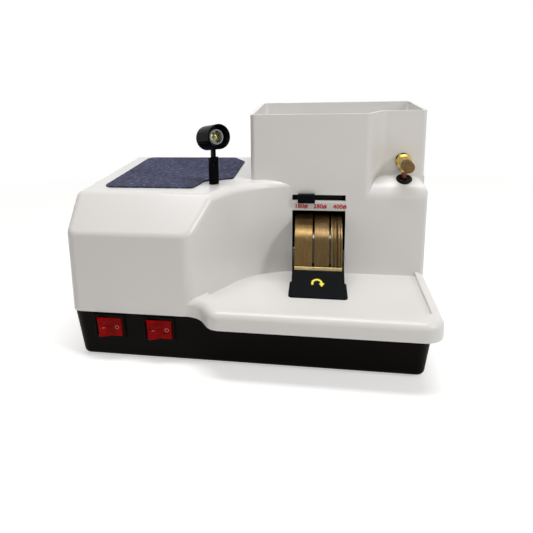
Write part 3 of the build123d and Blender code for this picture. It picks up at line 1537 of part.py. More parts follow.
def inlet_screws():
    """Two screws that hold the inlet."""
    screws = []
    for x in inlet_screw_places():
        face_y = niche_y + inlet_flange
        shank = rod(inlet_screw_radius, (x, niche_y - 2 * niche_wall, inlet_z), (x, face_y + 0.5, inlet_z))
        head = rod(inlet_head_radius, (x, face_y, inlet_z), (x, face_y + inlet_head_height, inlet_z))
        screws.append(shank + head)
    return screws


# ================================================================ places worked out from the above
slot_z = window_top_z + slot_rise
knob_back_y = wall_y - knob_gap
lamp_x = block_corner_x + lamp_from_corner
lamp_y = block_y + lamp_from_front
tube_y = wall_y + tube_setback
valve_x = right_x - valve_from_right
valve_z = block_top_z + valve_rise
motor_left_x = motor_right_x - motor_length
stator_x0 = (motor_left_x + motor_right_x - stator_length) / 2
stator_x1 = stator_x0 + stator_length
fan_left_x = motor_left_x - fan_gap - fan_width
housing_low_z = spindle_z - wheel_radius - housing_gap - housing_wall
housing_top_z = window_top_z + housing_top_gap + housing_wall
housing_back_y = spindle_y + wheel_radius + housing_gap + housing_wall
gate_z = slot_z + slot_height / 2 - gate_height / 2 - gate_gap
nozzle_y = wall_y + casing_wall + 1 + gate_depth / 2
barb_z = slot_z + slot_height / 2 - barb_drop
hose_top_z = block_top_z - tube_drop
guard_back_y = spindle_y - wheel_radius - rest_gap - rest_thickness - guard_sheet
guard_front_y = spindle_y - wheel_radius - guard_front
niche_y = back_y - niche_depth
inlet_z = (niche_low_z + niche_high_z) / 2
outlet_z = inlet_z - outlet_drop
spout_z = housing_low_z + housing_wall + outlet_bore + spout_rise
tower_inset = casing_wall + tower_inside
saddle_reach = motor_radius + saddle_ears
capacitor_x = motor_right_x - capacitor_back
capacitor_y = spindle_y + saddle_reach + capacitor_gap + capacitor_radius
capacitor_z = tub_floor_z + capacitor_rise + capacitor_radius
strap_z = spindle_z - saddle_drop
bay_start_x = bay_x - bay_slant - bay_radius * math.tan(math.atan2(bay_depth, bay_slant) / 2)
needle_end = valve_cap_start + neck_length + running_gap + needle_grip

# ================================================================ nodes
left_switch_x, right_switch_x = switch_places()
nodes = {
    "base_tub": base_tub,
    "rubber_feet": rubber_feet,
    "upper_casing": upper_casing,
    "casing_screws": casing_screws,
    "small_screws": lambda: feet_screws() + housing_screws() + strap_screws() + inlet_screws(),
    "felt_pad": felt_pad,
    "wheel_housing": wheel_housing,
    "shaft_seal": shaft_seal,
    "drain_hose": drain_hose,
    "drain_outlet": drain_outlet,
    "guard": guard,
    "lens_rest": lens_rest,
    "number_labels": label_strip,
    "selector_knob": selector_knob,
    "selector_gate": selector_gate,
    "water_manifold": water_manifold,
    "water_hose": water_hose,
    "spindle": spindle,
    "coarse_wheel": lambda: flat_wheel(0),
    "medium_wheel": lambda: flat_wheel(1),
    "bevel_wheel": bevel_wheel,
    "wheel_hubs": wheel_hubs,
    "wheel_spacers": lambda: wheel_spacers() + clamp_flanges(),
    "wheel_nut": wheel_nut,
    "motor_shell": motor_shell,
    "motor_end_caps": motor_end_caps,
    "ball_bearings": lambda: motor_bearings() + [outboard_bearing()],
    "stator_core": stator_core,
    "motor_windings": motor_windings,
    "rotor": rotor,
    "motor_fan": motor_fan,
    "fan_cover": fan_cover,
    "motor_cradle": motor_cradle,
    "cradle_straps": cradle_straps,
    "bearing_stand": bearing_stand,
    "capacitor": capacitor,
    "capacitor_clip": capacitor_clip,
    "valve_body": valve_body,
    "valve_cap": valve_cap,
    "valve_needle": valve_needle,
    "valve_washer": valve_washer,
    "valve_nut": valve_nut,
    "copper_tube": copper_tube,
    "tube_grommet": tube_grommet,
    "lamp_post": lamp_post,
    "lamp_pin": lamp_pin,
    "lamp_bush": lamp_bush,
    "lamp_post_nut": lamp_post_nut,
    "lamp_head": lamp_head,
    "lamp_bezel": lamp_bezel,
    "lamp_reflector": lamp_reflector,
    "lamp_lens": lamp_lens,
    "lamp_board": lamp_board,
    "lamp_driver": lamp_driver,
    "switch_bodies": lambda: [switch_body(x) for x in switch_places()],
    "rocker_left": lambda: rocker(left_switch_x),
    "rocker_right": lambda: rocker(right_switch_x),
    "blade_terminals": lambda: switch_terminals() + [inlet_pin_shapes()],
    "power_inlet": power_inlet,
}

os.makedirs("parts", exist_ok=True)
for name, build in nodes.items():
    shape = build()
    group = Compound(children=[Part(piece.wrapped) for piece in shape]) if isinstance(shape, list) else shape
    group.label = name
    export_step(group, f"parts/{name}.step")
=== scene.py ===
import json
import math

import bmesh
import bpy
import numpy as np
from mathutils import Matrix, Vector


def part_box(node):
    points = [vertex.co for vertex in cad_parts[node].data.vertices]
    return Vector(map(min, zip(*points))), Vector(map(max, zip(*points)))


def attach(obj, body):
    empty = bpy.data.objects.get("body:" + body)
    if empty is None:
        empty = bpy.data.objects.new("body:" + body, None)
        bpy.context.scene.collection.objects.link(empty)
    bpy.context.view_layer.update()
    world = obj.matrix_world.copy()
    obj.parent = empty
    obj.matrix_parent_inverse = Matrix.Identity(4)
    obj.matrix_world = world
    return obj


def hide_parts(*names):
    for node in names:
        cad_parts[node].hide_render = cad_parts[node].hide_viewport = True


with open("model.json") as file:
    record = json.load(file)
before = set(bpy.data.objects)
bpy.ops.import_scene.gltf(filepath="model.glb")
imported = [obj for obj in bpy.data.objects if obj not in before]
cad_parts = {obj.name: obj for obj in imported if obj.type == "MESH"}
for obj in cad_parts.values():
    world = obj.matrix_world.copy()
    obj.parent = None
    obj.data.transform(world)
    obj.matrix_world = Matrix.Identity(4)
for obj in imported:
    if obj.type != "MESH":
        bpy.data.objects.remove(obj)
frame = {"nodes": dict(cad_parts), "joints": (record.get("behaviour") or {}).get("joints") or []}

bl_info = {
    "name": "Lens edger finishes",
    "version": (1, 0, 0),
    "blender": (4, 5, 0),
    "location": "View3D > Sidebar > Lens edger",
    "description": "Dresses the lens edger's frame with its soft pieces, marks and finishes, and sets its stage",
    "category": "Add Mesh",
}

nodes = frame["nodes"]


# ------------------------------------------------------------------ sizes and colours that a user may change
def colour(name, description, default):
    """A colour setting, as linear red, green and blue."""
    return bpy.props.FloatVectorProperty(
        name=name, description=description, default=default, size=3, min=0.0, max=1.0, subtype="COLOR"
    )


def distance(name, description, default):
    """A length setting in metres."""
    return bpy.props.FloatProperty(name=name, description=description, default=default, min=0.0, unit="LENGTH")


class ShellSettings(bpy.types.PropertyGroup):
    """Colours of the casing, tub, felt and rubber."""

    casing: colour("Casing", "Moulded plastic of the upper casing", (0.80, 0.79, 0.775))
    tub: colour("Tub", "Grained plastic of the lower tub", (0.0040, 0.0032, 0.0026))
    felt: colour("Felt", "Dark fibres of the felt sheet", (0.004, 0.004, 0.014))
    felt_fleck: colour("Felt flecks", "Pale fibres of the felt sheet", (0.140, 0.160, 0.40))
    rubber: colour("Rubber", "Grommet, washer, seal and feet", (0.003, 0.003, 0.003))


class FittingSettings(bpy.types.PropertyGroup):
    """Colours of the wheels, valve, guard, light and switches."""

    coarse: colour("Coarse wheel", "Sintered bronze of the coarse wheel", (0.200, 0.124, 0.042))
    medium: colour("Medium wheel", "Sintered bronze of the medium wheel", (0.165, 0.103, 0.038))
    fine: colour("Bevel wheel", "Sintered bronze of the bevel wheel", (0.178, 0.118, 0.046))
    brass: colour("Brass", "Valve body and nut", (0.72, 0.53, 0.15))
    pale_brass: colour("Pale brass", "Lens rest", (0.62, 0.48, 0.24))
    bronze: colour("Bronze", "Cap of the valve", (0.16, 0.098, 0.038))
    copper: colour("Copper", "Water tube", (0.13, 0.042, 0.024))
    guard: colour("Guard", "Satin paint of the guard", (0.0034, 0.0040, 0.0054))
    knob: colour("Knob", "Ribbed selector knob", (0.0030, 0.0040, 0.0070))
    rocker: colour("Rockers", "Red plastic of the switches", (0.24, 0.0018, 0.0016))
    number: colour("Numbers", "Red print over the window", (0.50, 0.002, 0.016))
    arrow: colour("Arrow", "Yellow mark on the guard", (0.95, 0.77, 0.01))


class StageSettings(bpy.types.PropertyGroup):
    """Floor, lights and camera."""

    floor: colour("Floor", "Plain pale floor", (0.90, 0.90, 0.90))
    key_power: bpy.props.FloatProperty(name="Overhead light", description="Softbox above", default=8.2, unit="POWER")
    strip_power: bpy.props.FloatProperty(name="Strip light", description="Narrow light above", default=1.6, unit="POWER")
    side_power: bpy.props.FloatProperty(name="Side light", description="Softbox at the left", default=0.9, unit="POWER")
    fill_power: bpy.props.FloatProperty(name="Front light", description="Softbox at the right", default=5.2, unit="POWER")
    soft: bpy.props.FloatProperty(name="Surround", description="Soft light from all sides", default=0.15)
    lens: bpy.props.FloatProperty(name="Focal length", description="Camera lens in millimetres", default=38.34)


# ------------------------------------------------------------------ node materials
def finish(name, **values):
    """A material with one Principled shader whose constant sockets are set directly."""
    material = bpy.data.materials.new(name)
    material.use_nodes = True
    shader = material.node_tree.nodes["Principled BSDF"]
    for key, value in values.items():
        socket = shader.inputs[key.replace("_", " ")]
        socket.default_value = (*value, 1.0) if hasattr(value, "__len__") and len(value) == 3 and socket.type == "RGBA" else value
    return material


def place(material, stretch=(1, 1, 1), centre=(0, 0, 0), turn=(0, 0, 0)):
    """Object coordinates, centred, turned and stretched."""
    tree = material.node_tree
    coordinate = tree.nodes.new("ShaderNodeTexCoord")
    mapping = tree.nodes.new("ShaderNodeMapping")
    mapping.inputs["Scale"].default_value = stretch
    mapping.inputs["Rotation"].default_value = turn
    mapping.inputs["Location"].default_value = [-c * s for c, s in zip(centre, stretch)]
    tree.links.new(coordinate.outputs["Object"], mapping.inputs["Vector"])
    return mapping.outputs["Vector"]


def around_spindle(material, across, along):
    """Coordinates (x times across, angle about the spindle times along), so that marks run round a wheel."""
    tree = material.node_tree
    parts = tree.nodes.new("ShaderNodeSeparateXYZ")
    tree.links.new(place(material, centre=spindle_centre()), parts.inputs[0])
    angle = tree.nodes.new("ShaderNodeMath")
    angle.operation = "ARCTAN2"
    tree.links.new(parts.outputs["Z"], angle.inputs[0])
    tree.links.new(parts.outputs["Y"], angle.inputs[1])
    joined = tree.nodes.new("ShaderNodeCombineXYZ")
    for source, factor, socket in ((parts.outputs["X"], across, "X"), (angle.outputs[0], along, "Y")):
        times = tree.nodes.new("ShaderNodeMath")
        times.operation = "MULTIPLY"
        times.inputs[1].default_value = factor
        tree.links.new(source, times.inputs[0])
        tree.links.new(times.outputs[0], joined.inputs[socket])
    return joined.outputs[0]


def clouds(material, vector, scale, detail=3.0, rough=0.55):
    """Soft noise of that many lumps per unit of the vector."""
    node = material.node_tree.nodes.new("ShaderNodeTexNoise")
    node.inputs["Scale"].default_value = scale
    node.inputs["Detail"].default_value = detail
    node.inputs["Roughness"].default_value = rough
    material.node_tree.links.new(vector, node.inputs["Vector"])
    return node.outputs[0]


def cells(material, vector, scale):
    """Distance to the nearest point of a scatter of cells."""
    node = material.node_tree.nodes.new("ShaderNodeTexVoronoi")
    node.inputs["Scale"].default_value = scale
    material.node_tree.links.new(vector, node.inputs["Vector"])
    return node.outputs["Distance"]


def spread(material, value, low, high, start=0.35, end=0.65):
    """The value between start and end, spread from low to high."""
    node = material.node_tree.nodes.new("ShaderNodeMapRange")
    for socket, number in zip(("From Min", "From Max", "To Min", "To Max"), (start, end, low, high)):
        node.inputs[socket].default_value = number
    material.node_tree.links.new(value, node.inputs["Value"])
    return node.outputs["Result"]


def tint(material, value, first, second, start=0.35, end=0.65):
    """Base colour between two colours, by a value."""
    tree = material.node_tree
    mix = tree.nodes.new("ShaderNodeMix")
    mix.data_type = "RGBA"
    mix.inputs[6].default_value = (*first, 1.0)
    mix.inputs[7].default_value = (*second, 1.0)
    tree.links.new(spread(material, value, 0.0, 1.0, start, end), mix.inputs[0])
    tree.links.new(mix.outputs[2], tree.nodes["Principled BSDF"].inputs["Base Color"])


def dull(material, value, low, high, start=0.35, end=0.65):
    """Roughness between two limits, by a value."""
    tree = material.node_tree
    tree.links.new(spread(material, value, low, high, start, end), tree.nodes["Principled BSDF"].inputs["Roughness"])


def relief(material, *layers):
    """Bump from (value, strength, depth in metres) layers, one on the other."""
    tree = material.node_tree
    last = None
    for value, strength, depth in layers:
        bump = tree.nodes.new("ShaderNodeBump")
        bump.inputs["Strength"].default_value = strength
        bump.inputs["Distance"].default_value = depth
        tree.links.new(value, bump.inputs["Height"])
        if last:
            tree.links.new(last, bump.inputs["Normal"])
        last = bump.outputs["Normal"]
    tree.links.new(last, tree.nodes["Principled BSDF"].inputs["Normal"])


def scaled(base, factor):
    """A colour made lighter or darker."""
    return tuple(min(1.0, channel * factor) for channel in base)


def moulded(name, base, rough, grain=0.0, coat=0.0, grain_scale=900.0, gloss=0.5):
    """Injection-moulded plastic: faint flow clouds, uneven gloss and a fine grain."""
    material = finish(name, Base_Color=base, Roughness=rough, Coat_Weight=coat, Coat_Roughness=0.12,
                      Specular_IOR_Level=gloss)
    flow = clouds(material, place(material), 14.0, 1.0)
    fine = clouds(material, place(material), grain_scale, 3.0)
    tint(material, flow, scaled(base, 0.98), scaled(base, 1.015), 0.2, 0.8)
    dull(material, flow, rough * 0.9, rough * 1.1, 0.2, 0.8)
    relief(material, (fine, 0.25 + grain, 0.00002 + 0.00008 * grain))
    return material


def sintered(name, base, lumps):
    """Diamond bond of a wheel: bright grains in bronze, with fine lines worn round it."""
    material = finish(name, Metallic=0.68, Specular_IOR_Level=0.25)
    lines = clouds(material, around_spindle(material, 2600.0, 3.0), 1.0, 5.0, 0.7)
    grains = cells(material, place(material), lumps)
    patch = clouds(material, place(material), 260.0, 5.0)
    tree = material.node_tree
    blend = tree.nodes.new("ShaderNodeMath")
    blend.operation = "MULTIPLY_ADD"
    blend.inputs[1].default_value = 0.8
    tree.links.new(lines, blend.inputs[0])
    tree.links.new(spread(material, grains, 0.25, 0.0, 0.1, 0.6), blend.inputs[2])
    tint(material, blend.outputs[0], scaled(base, 0.30), scaled(base, 1.60), 0.3, 0.85)
    dull(material, patch, 0.15, 0.24)
    relief(material, (lines, 0.3, 0.00006), (grains, 0.5, 0.00010))
    return material


def turned(name, base, rough=0.25, stretch=(1, 1, 1), lines=1800.0, wear=0.75):
    """Machined or drawn metal with fine tool lines and a little tarnish."""
    material = finish(name, Metallic=1.0)
    marks = clouds(material, place(material, stretch), lines, 4.0, 0.7)
    tarnish = clouds(material, place(material), 160.0, 5.0, 0.6)
    tint(material, tarnish, scaled(base, wear), scaled(base, 1.12), 0.3, 0.7)
    dull(material, tarnish, rough * 1.35, rough * 0.85)
    relief(material, (marks, 0.25, 0.00004))
    return material


def cast(name, base, rough, lumps=700.0, gloss=0.5):
    """Cast or painted metal with a fine orange-peel surface."""
    material = finish(name, Base_Color=base, Roughness=rough, Specular_IOR_Level=gloss)
    peel = clouds(material, place(material), lumps, 2.0)
    patch = clouds(material, place(material), 60.0, 5.0)
    tint(material, patch, scaled(base, 0.85), scaled(base, 1.25))
    dull(material, patch, rough * 0.85, rough * 1.2)
    relief(material, (peel, 0.3, 0.00005))
    return material


def rubbery(name, base, rough, gloss=0.3):
    """Smooth rubber with dusty patches."""
    material = finish(name, Base_Color=base, Roughness=rough, Specular_IOR_Level=gloss)
    dust = clouds(material, place(material), 220.0, 5.0)
    tint(material, dust, scaled(base, 0.8), scaled(base, 1.8), 0.4, 0.8)
    dull(material, dust, rough * 0.8, rough * 1.5)
    relief(material, (dust, 0.12, 0.00005))
    return material


def felted(name, dark, pale):
    """Needled felt: dark fibres with pale flecks in long and short tufts."""
    material = finish(name, Roughness=0.95, Sheen_Weight=0.2, Sheen_Roughness=0.45, Sheen_Tint=(0.55, 0.58, 0.8))
    fibres = clouds(material, place(material, (1.0, 1.35, 1.0)), 900.0, 6.0, 0.75)
    tufts = clouds(material, place(material, turn=(0.0, 0.0, 0.6)), 240.0, 4.0, 0.65)
    tree = material.node_tree
    both = tree.nodes.new("ShaderNodeMath")
    both.operation = "MULTIPLY_ADD"
    both.inputs[1].default_value = 0.5
    tree.links.new(tufts, both.inputs[0])
    half = spread(material, fibres, 0.0, 0.5, 0.0, 1.0)
    tree.links.new(half, both.inputs[2])
    tint(material, both.outputs[0], dark, pale, 0.51, 0.60)
    relief(material, (fibres, 0.9, 0.0004), (tufts, 0.6, 0.0006))
    return material


def clear_red(name, base):
    """Translucent red plastic of a rocker, darker in the deep parts."""
    material = finish(name, Roughness=0.22, IOR=1.49, Subsurface_Weight=0.2, Subsurface_Scale=0.004,
                      Subsurface_Radius=(1.0, 0.06, 0.04), Specular_IOR_Level=0.04)
    depth = clouds(material, place(material, (1.0, 1.0, 1.6)), 120.0, 3.0)
    tint(material, depth, scaled(base, 0.50), scaled(base, 1.55), 0.3, 0.7)
    relief(material, (clouds(material, place(material), 420.0, 3.0), 0.12, 0.0001))
    return material


def printed(name, base, rough=0.4):
    """Screen ink or film: an even colour with faint pinholes."""
    material = finish(name, Base_Color=base, Roughness=rough)
    ink = clouds(material, place(material), 2400.0, 3.0)
    tint(material, ink, scaled(base, 0.86), scaled(base, 1.06))
    relief(material, (ink, 0.15, 0.00002))
    return material


def stacked(name, base):
    """Laminated steel: thin sheets side by side along the spindle."""
    material = finish(name, Metallic=1.0)
    sheets = clouds(material, place(material, (2200.0, 40.0, 40.0)), 1.0, 2.0)
    tint(material, sheets, scaled(base, 0.6), scaled(base, 1.2))
    dull(material, sheets, 0.35, 0.55)
    relief(material, (sheets, 0.5, 0.0001))
    return material


def wound(name, base):
    """Varnished copper wire lying round the spindle."""
    material = finish(name, Metallic=1.0, Coat_Weight=0.6, Coat_Roughness=0.2)
    wires = clouds(material, around_spindle(material, 1500.0, 2.0), 1.0, 2.0)
    tint(material, wires, scaled(base, 0.35), scaled(base, 1.2))
    dull(material, wires, 0.28, 0.45)
    relief(material, (wires, 0.8, 0.0003))
    return material


def glassy(name, base):
    """Clear moulded lens with a slightly uneven face."""
    material = finish(name, Base_Color=base, Roughness=0.03, Transmission_Weight=1.0, IOR=1.2)
    relief(material, (clouds(material, place(material), 500.0, 2.0), 0.05, 0.0001))
    return material


# ------------------------------------------------------------------ shapes
def spindle_centre():
    """Middle of the bevel wheel's box, which lies on the spindle."""
    low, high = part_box("bevel_wheel")
    return ((low[0] + high[0]) / 2, (low[1] + high[1]) / 2, (low[2] + high[2]) / 2)


def grid_faces(rows, columns, closed=True):
    """Quads of a grid of rows by columns, its columns joined round when closed."""
    row, column = np.meshgrid(np.arange(rows - 1), np.arange(columns if closed else columns - 1), indexing="ij")
    nxt = (column + 1) % columns
    quads = np.stack((row * columns + column, row * columns + nxt, (row + 1) * columns + nxt, (row + 1) * columns + column), -1)
    return quads.reshape(-1, 4)


def mesh_piece(name, points, faces, caps=(), smooth=True):
    """An object from an array of points and its quads, with extra faces for its caps."""
    mesh = bpy.data.meshes.new(name)
    mesh.from_pydata(points.reshape(-1, 3).tolist(), [], faces.tolist() + [list(cap) for cap in caps])
    mesh.validate()
    mesh.polygons.foreach_set("use_smooth", np.full(len(mesh.polygons), smooth))
    piece = bpy.data.objects.new(name, mesh)
    bpy.context.scene.collection.objects.link(piece)
    return piece


def dress(piece, material):
    """One material on the whole piece."""
    piece.data.materials.clear()
    piece.data.materials.append(material)
    return piece


def round_corners(points, radii, steps=9):
    """Closed outline in plan: each corner becomes an arc of its radius, tangent to both of its sides."""
    points, outline = np.asarray(points, float), []
    for index, radius in enumerate(radii):
        corner = points[index]
        before, after = points[index - 1] - corner, points[(index + 1) % len(points)] - corner
        before, after = before / np.linalg.norm(before), after / np.linalg.norm(after)
        half = math.acos(float(np.clip(before @ after, -1, 1))) / 2
        centre = corner + (before + after) / np.linalg.norm(before + after) * radius / math.sin(half)
        start, end = corner + before * radius / math.tan(half), corner + after * radius / math.tan(half)
        share = np.linspace(0, 1, steps)[:, None]
        arc = (start - centre) * (1 - share) + (end - centre) * share
        outline.append(centre + arc / np.linalg.norm(arc, axis=1, keepdims=True) * radius)
    return np.concatenate(outline)


def even_outline(outline, count):
    """The closed outline again, as evenly spaced points."""
    ring = np.vstack((outline, outline[:1]))
    length = np.concatenate(([0.0], np.cumsum(np.linalg.norm(np.diff(ring, axis=0), axis=1))))
    where = np.linspace(0, length[-1], count, endpoint=False)
    return np.stack([np.interp(where, length, ring[:, axis]) for axis in (0, 1)], -1)


# ------------------------------------------------------------------ operators
class EDGER_OT_casing(bpy.types.Operator):
    """Finishes the casing, the tub and what is moulded in black"""

    bl_idname = "edger.casing"
    bl_label = "Casing and tub"

    def execute(self, context):
        """White casing, grained tub and the hidden black mouldings; the water manifold behind its slot is black as
        painted shade.
        """
        shell = context.scene.edger_shell
        white = moulded("casing_white", shell.casing, 0.34, coat=0.15, grain_scale=1400.0)
        black = moulded("tub_black", shell.tub, 0.40, grain=0.5, grain_scale=1300.0, gloss=0.035)
        inner = moulded("housing_black", scaled(shell.tub, 0.8), 0.5, grain=0.3, gloss=0.08)
        for names, material in (
            (("upper_casing",), white),
            (("base_tub",), black),
            # The water manifold is black as painted shade in its slot; the other parts here are black mouldings.
            (("wheel_housing", "water_manifold", "drain_outlet", "motor_fan", "capacitor_clip", "selector_gate"), inner),
            (("switch_bodies", "power_inlet", "lamp_driver"), moulded("switch_black", (0.0028, 0.0026, 0.0026), 0.26, gloss=0.04)),
            (("lamp_bush",), moulded("acetal_white", (0.7, 0.7, 0.67), 0.4)),
        ):
            for name in names:
                dress(nodes[name], material)
        return {"FINISHED"}


class EDGER_OT_felt(bpy.types.Operator):
    """Lays the felt sheet on the motor block"""

    bl_idname = "edger.felt"
    bl_label = "Felt sheet"

    def execute(self, context):
        """Rings drawn in from the outline towards the middle, lifted by waves of a tenth of a millimetre."""
        shell = context.scene.edger_shell
        low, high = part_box("felt_pad")
        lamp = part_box("lamp_post")
        foot = ((lamp[0][0] + lamp[1][0]) / 2, (lamp[0][1] + lamp[1][1]) / 2)
        left, front, right, back = low[0], low[1], high[0], high[1]
        corners = (
            (left, front), (foot[0] - 0.017, front), (foot[0] - 0.0115, foot[1] + 0.0095), (right, foot[1] + 0.0235),
            (right, back - 0.0246), (right - 0.0147, back), (left, back),
        )
        outline = even_outline(round_corners(corners, (0.010, 0.005, 0.006, 0.005, 0.003, 0.005, 0.010)), 600)
        middle = np.array(((left + right) / 2 - 0.006, (front + back) / 2 + 0.006))
        thick = high[2] - low[2]
        edge = ((0.0, 0.0), (-0.00025, 0.35 * thick), (0.0, 0.75 * thick), (0.0004, 0.95 * thick), (0.0010, thick))
        shares = np.concatenate((np.linspace(0.03, 0.9, 30), (0.97,)))
        ways = middle - outline
        reach = np.linalg.norm(ways, axis=1, keepdims=True)
        rings = [np.column_stack((outline + ways / reach * inset, np.full(600, low[2] + height))) for inset, height in edge]
        for share in shares:
            at = outline + ways * share
            wave = np.sin(at[:, 0] * 410.0 + 1.3 * np.sin(at[:, 1] * 290.0)) * np.cos(at[:, 1] * 350.0)
            rings.append(np.column_stack((at, low[2] + thick + 0.00006 * wave)))
        points = np.stack(rings)
        points[0, :, 2] += 0.00005
        count = points.shape[1]
        caps = (range(count - 1, -1, -1), range((len(rings) - 1) * count, len(rings) * count))
        sheet = mesh_piece("felt_sheet", points, grid_faces(len(rings), count), caps)
        dress(sheet, felted("felt_blue", shell.felt, shell.felt_fleck))
        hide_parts("felt_pad")
        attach(sheet, "base")
        return {"FINISHED"}


class EDGER_OT_wheels(bpy.types.Operator):
    """Finishes the wheels, the spindle and the motor"""

    bl_idname = "edger.wheels"
    bl_label = "Wheels and motor"

    def execute(self, context):
        """Sintered rims, machined hubs and the motor's metals."""
        fitting = context.scene.edger_fittings
        steel = turned("steel", (0.62, 0.62, 0.63), 0.22, (1.0, 0.15, 0.15))
        bright = turned("aluminium", (0.34, 0.34, 0.35), 0.3, wear=0.9)
        grey = cast("motor_grey", (0.055, 0.062, 0.07), 0.4)
        for names, material in (
            (("coarse_wheel",), sintered("diamond_coarse", fitting.coarse, 1500.0)),
            (("medium_wheel",), sintered("diamond_medium", fitting.medium, 2100.0)),
            (("bevel_wheel",), sintered("diamond_fine", fitting.fine, 3000.0)),
            (("ball_bearings", "valve_needle"), steel),
            # Spindle, nut and spacers: steel darkened partly for real dirt and partly as painted shade in the housing
            # and in the gaps between the wheels.
            (("spindle", "wheel_nut", "wheel_spacers"), turned("steel_dirt_and_painted_shade", (0.05, 0.045, 0.04), 0.12)),
            (("casing_screws", "small_screws", "lamp_post_nut", "cradle_straps"), turned("screw_steel", (0.26, 0.26, 0.26), 0.3, wear=0.9)),
            (("wheel_hubs", "capacitor"), bright),
            (("motor_end_caps", "motor_cradle", "bearing_stand"), cast("cast_aluminium", (0.42, 0.42, 0.43), 0.45, 420.0)),
            (("motor_shell", "fan_cover"), grey),
            (("stator_core", "rotor"), stacked("lamination", (0.3, 0.3, 0.31))),
            (("motor_windings",), wound("copper_wire", (0.60, 0.25, 0.12))),
        ):
            for name in names:
                dress(nodes[name], material)
        return {"FINISHED"}


class EDGER_OT_water(bpy.types.Operator):
    """Finishes the valve, the copper tube, the grommet and the hoses"""

    bl_idname = "edger.water"
    bl_label = "Water fittings"

    def execute(self, context):
        """Brass, bronze, copper and rubber."""
        fitting, shell = context.scene.edger_fittings, context.scene.edger_shell
        gloss = rubbery("rubber_black", shell.rubber, 0.10, gloss=0.12)
        hose = rubbery("hose_grey", (0.36, 0.37, 0.37), 0.35)
        for names, material in (
            (("valve_body", "valve_nut", "blade_terminals"), turned("brass", fitting.brass, 0.22)),
            (("lens_rest",), turned("pale_brass", fitting.pale_brass, 0.3, (0.1, 1.0, 1.0))),
            (("valve_cap",), turned("bronze", fitting.bronze, 0.38, wear=0.7)),
            (("copper_tube",), turned("copper_tube", fitting.copper, 0.26, (1.0, 1.0, 0.08))),
            (("tube_grommet", "valve_washer", "shaft_seal", "rubber_feet"), gloss),
            (("water_hose", "drain_hose"), hose),
        ):
            for name in names:
                dress(nodes[name], material)
        return {"FINISHED"}


class EDGER_OT_guard(bpy.types.Operator):
    """Finishes the guard and puts the turning arrow on it"""

    bl_idname = "edger.guard"
    bl_label = "Guard and arrow"

    def execute(self, context):
        """Arrow: a band between two radii over an arc, which widens to a head and runs out to a point."""
        fitting = context.scene.edger_fittings
        dress(nodes["guard"], cast("guard_black", fitting.guard, 0.38, 1200.0, gloss=0.03))
        low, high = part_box("guard")
        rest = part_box("lens_rest")
        sheet = 0.0012
        rise, run = high[2] - low[2] - sheet, rest[0][1] - sheet - low[1]
        lean = math.atan2(rise, run)
        centre = Vector(((low[0] + high[0]) / 2 - 0.0008, low[1] + run * 0.53, low[2] + sheet + rise * 0.53))
        matrix = Matrix.Translation(centre) @ Matrix.Rotation(lean, 4, "X")
        middle, width, tip = 0.0044, 0.0020, 0.0041
        arc = np.radians(np.linspace(205.0, 10.0, 28))
        body = [(middle + side * width / 2, arc[::side]) for side in (1, -1)]
        outer, inner = [np.stack((radius * np.cos(turn), radius * np.sin(turn)), -1) for radius, turn in body]
        head = np.array(((middle + tip * 0.62, -0.0002), (middle, -tip), (middle - tip * 0.62, -0.0002)))
        outline = np.concatenate((outer, head, inner))
        arrow = arrow_plate(outline, matrix, "turning_arrow")
        dress(arrow, printed("arrow_yellow", fitting.arrow, 0.35))
        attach(arrow, "lift_off_guard")
        return {"FINISHED"}


def arrow_plate(outline, matrix, name):
    """A flat film of the outline, 0.12 mm thick, at the matrix."""
    turn = np.array(matrix)
    count = len(outline)
    flat = np.stack([np.column_stack((outline, np.full(count, z))) for z in (0.00002, 0.00014)])
    points = flat.reshape(-1, 3) @ turn[:3, :3].T + turn[:3, 3]
    piece = mesh_piece(name, points, grid_faces(2, count), (range(count), range(2 * count - 1, count - 1, -1)), False)
    recalculate(piece)
    return piece


def recalculate(piece):
    """Turns every face of a closed piece outwards."""
    work = bmesh.new()
    work.from_mesh(piece.data)
    bmesh.ops.remove_doubles(work, verts=work.verts, dist=1e-7)
    bmesh.ops.recalc_face_normals(work, faces=work.faces)
    work.to_mesh(piece.data)
    work.free()


class EDGER_OT_numbers(bpy.types.Operator):
    """Prints the grit numbers over the window"""

    bl_idname = "edger.numbers"
    bl_label = "Grit numbers"

    def execute(self, context):
        """Each number is set as type, made a mesh and placed on its sticker."""
        fitting = context.scene.edger_fittings
        dress(nodes["number_labels"], printed("label_cream", (0.74, 0.72, 0.67)))
        ink = printed("number_red", fitting.number)
        low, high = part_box("number_labels")
        front = low[1] - 0.00001
        places = ((0.0474, "180#"), (0.0663, "280#"), (0.0858, "400#"))
        for x, text in places:
            curve = bpy.data.curves.new(f"number_{text[:3]}", "FONT")
            curve.body = text
            curve.size = 0.0060
            curve.space_character = 1.06
            curve.align_x, curve.align_y = "CENTER", "CENTER"
            curve.extrude = 0.00004
            curve.offset = 0.00024
            curve.resolution_u = 4
            typed = bpy.data.objects.new(curve.name, curve)
            bpy.context.scene.collection.objects.link(typed)
            bpy.context.view_layer.update()
            mesh = bpy.data.meshes.new_from_object(typed.evaluated_get(bpy.context.evaluated_depsgraph_get()))
            bpy.data.objects.remove(typed)
            stand = Matrix.Translation((x, front - 0.00004, (low[2] + high[2]) / 2 - 0.0006))
            mesh.transform(stand @ Matrix.Rotation(math.radians(90), 4, "X") @ Matrix.Diagonal((1.0, 1.0, 1.0, 1.0)))
            piece = bpy.data.objects.new(curve.name, mesh)
            bpy.context.scene.collection.objects.link(piece)
            dress(piece, ink)
            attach(piece, "base")
        return {"FINISHED"}


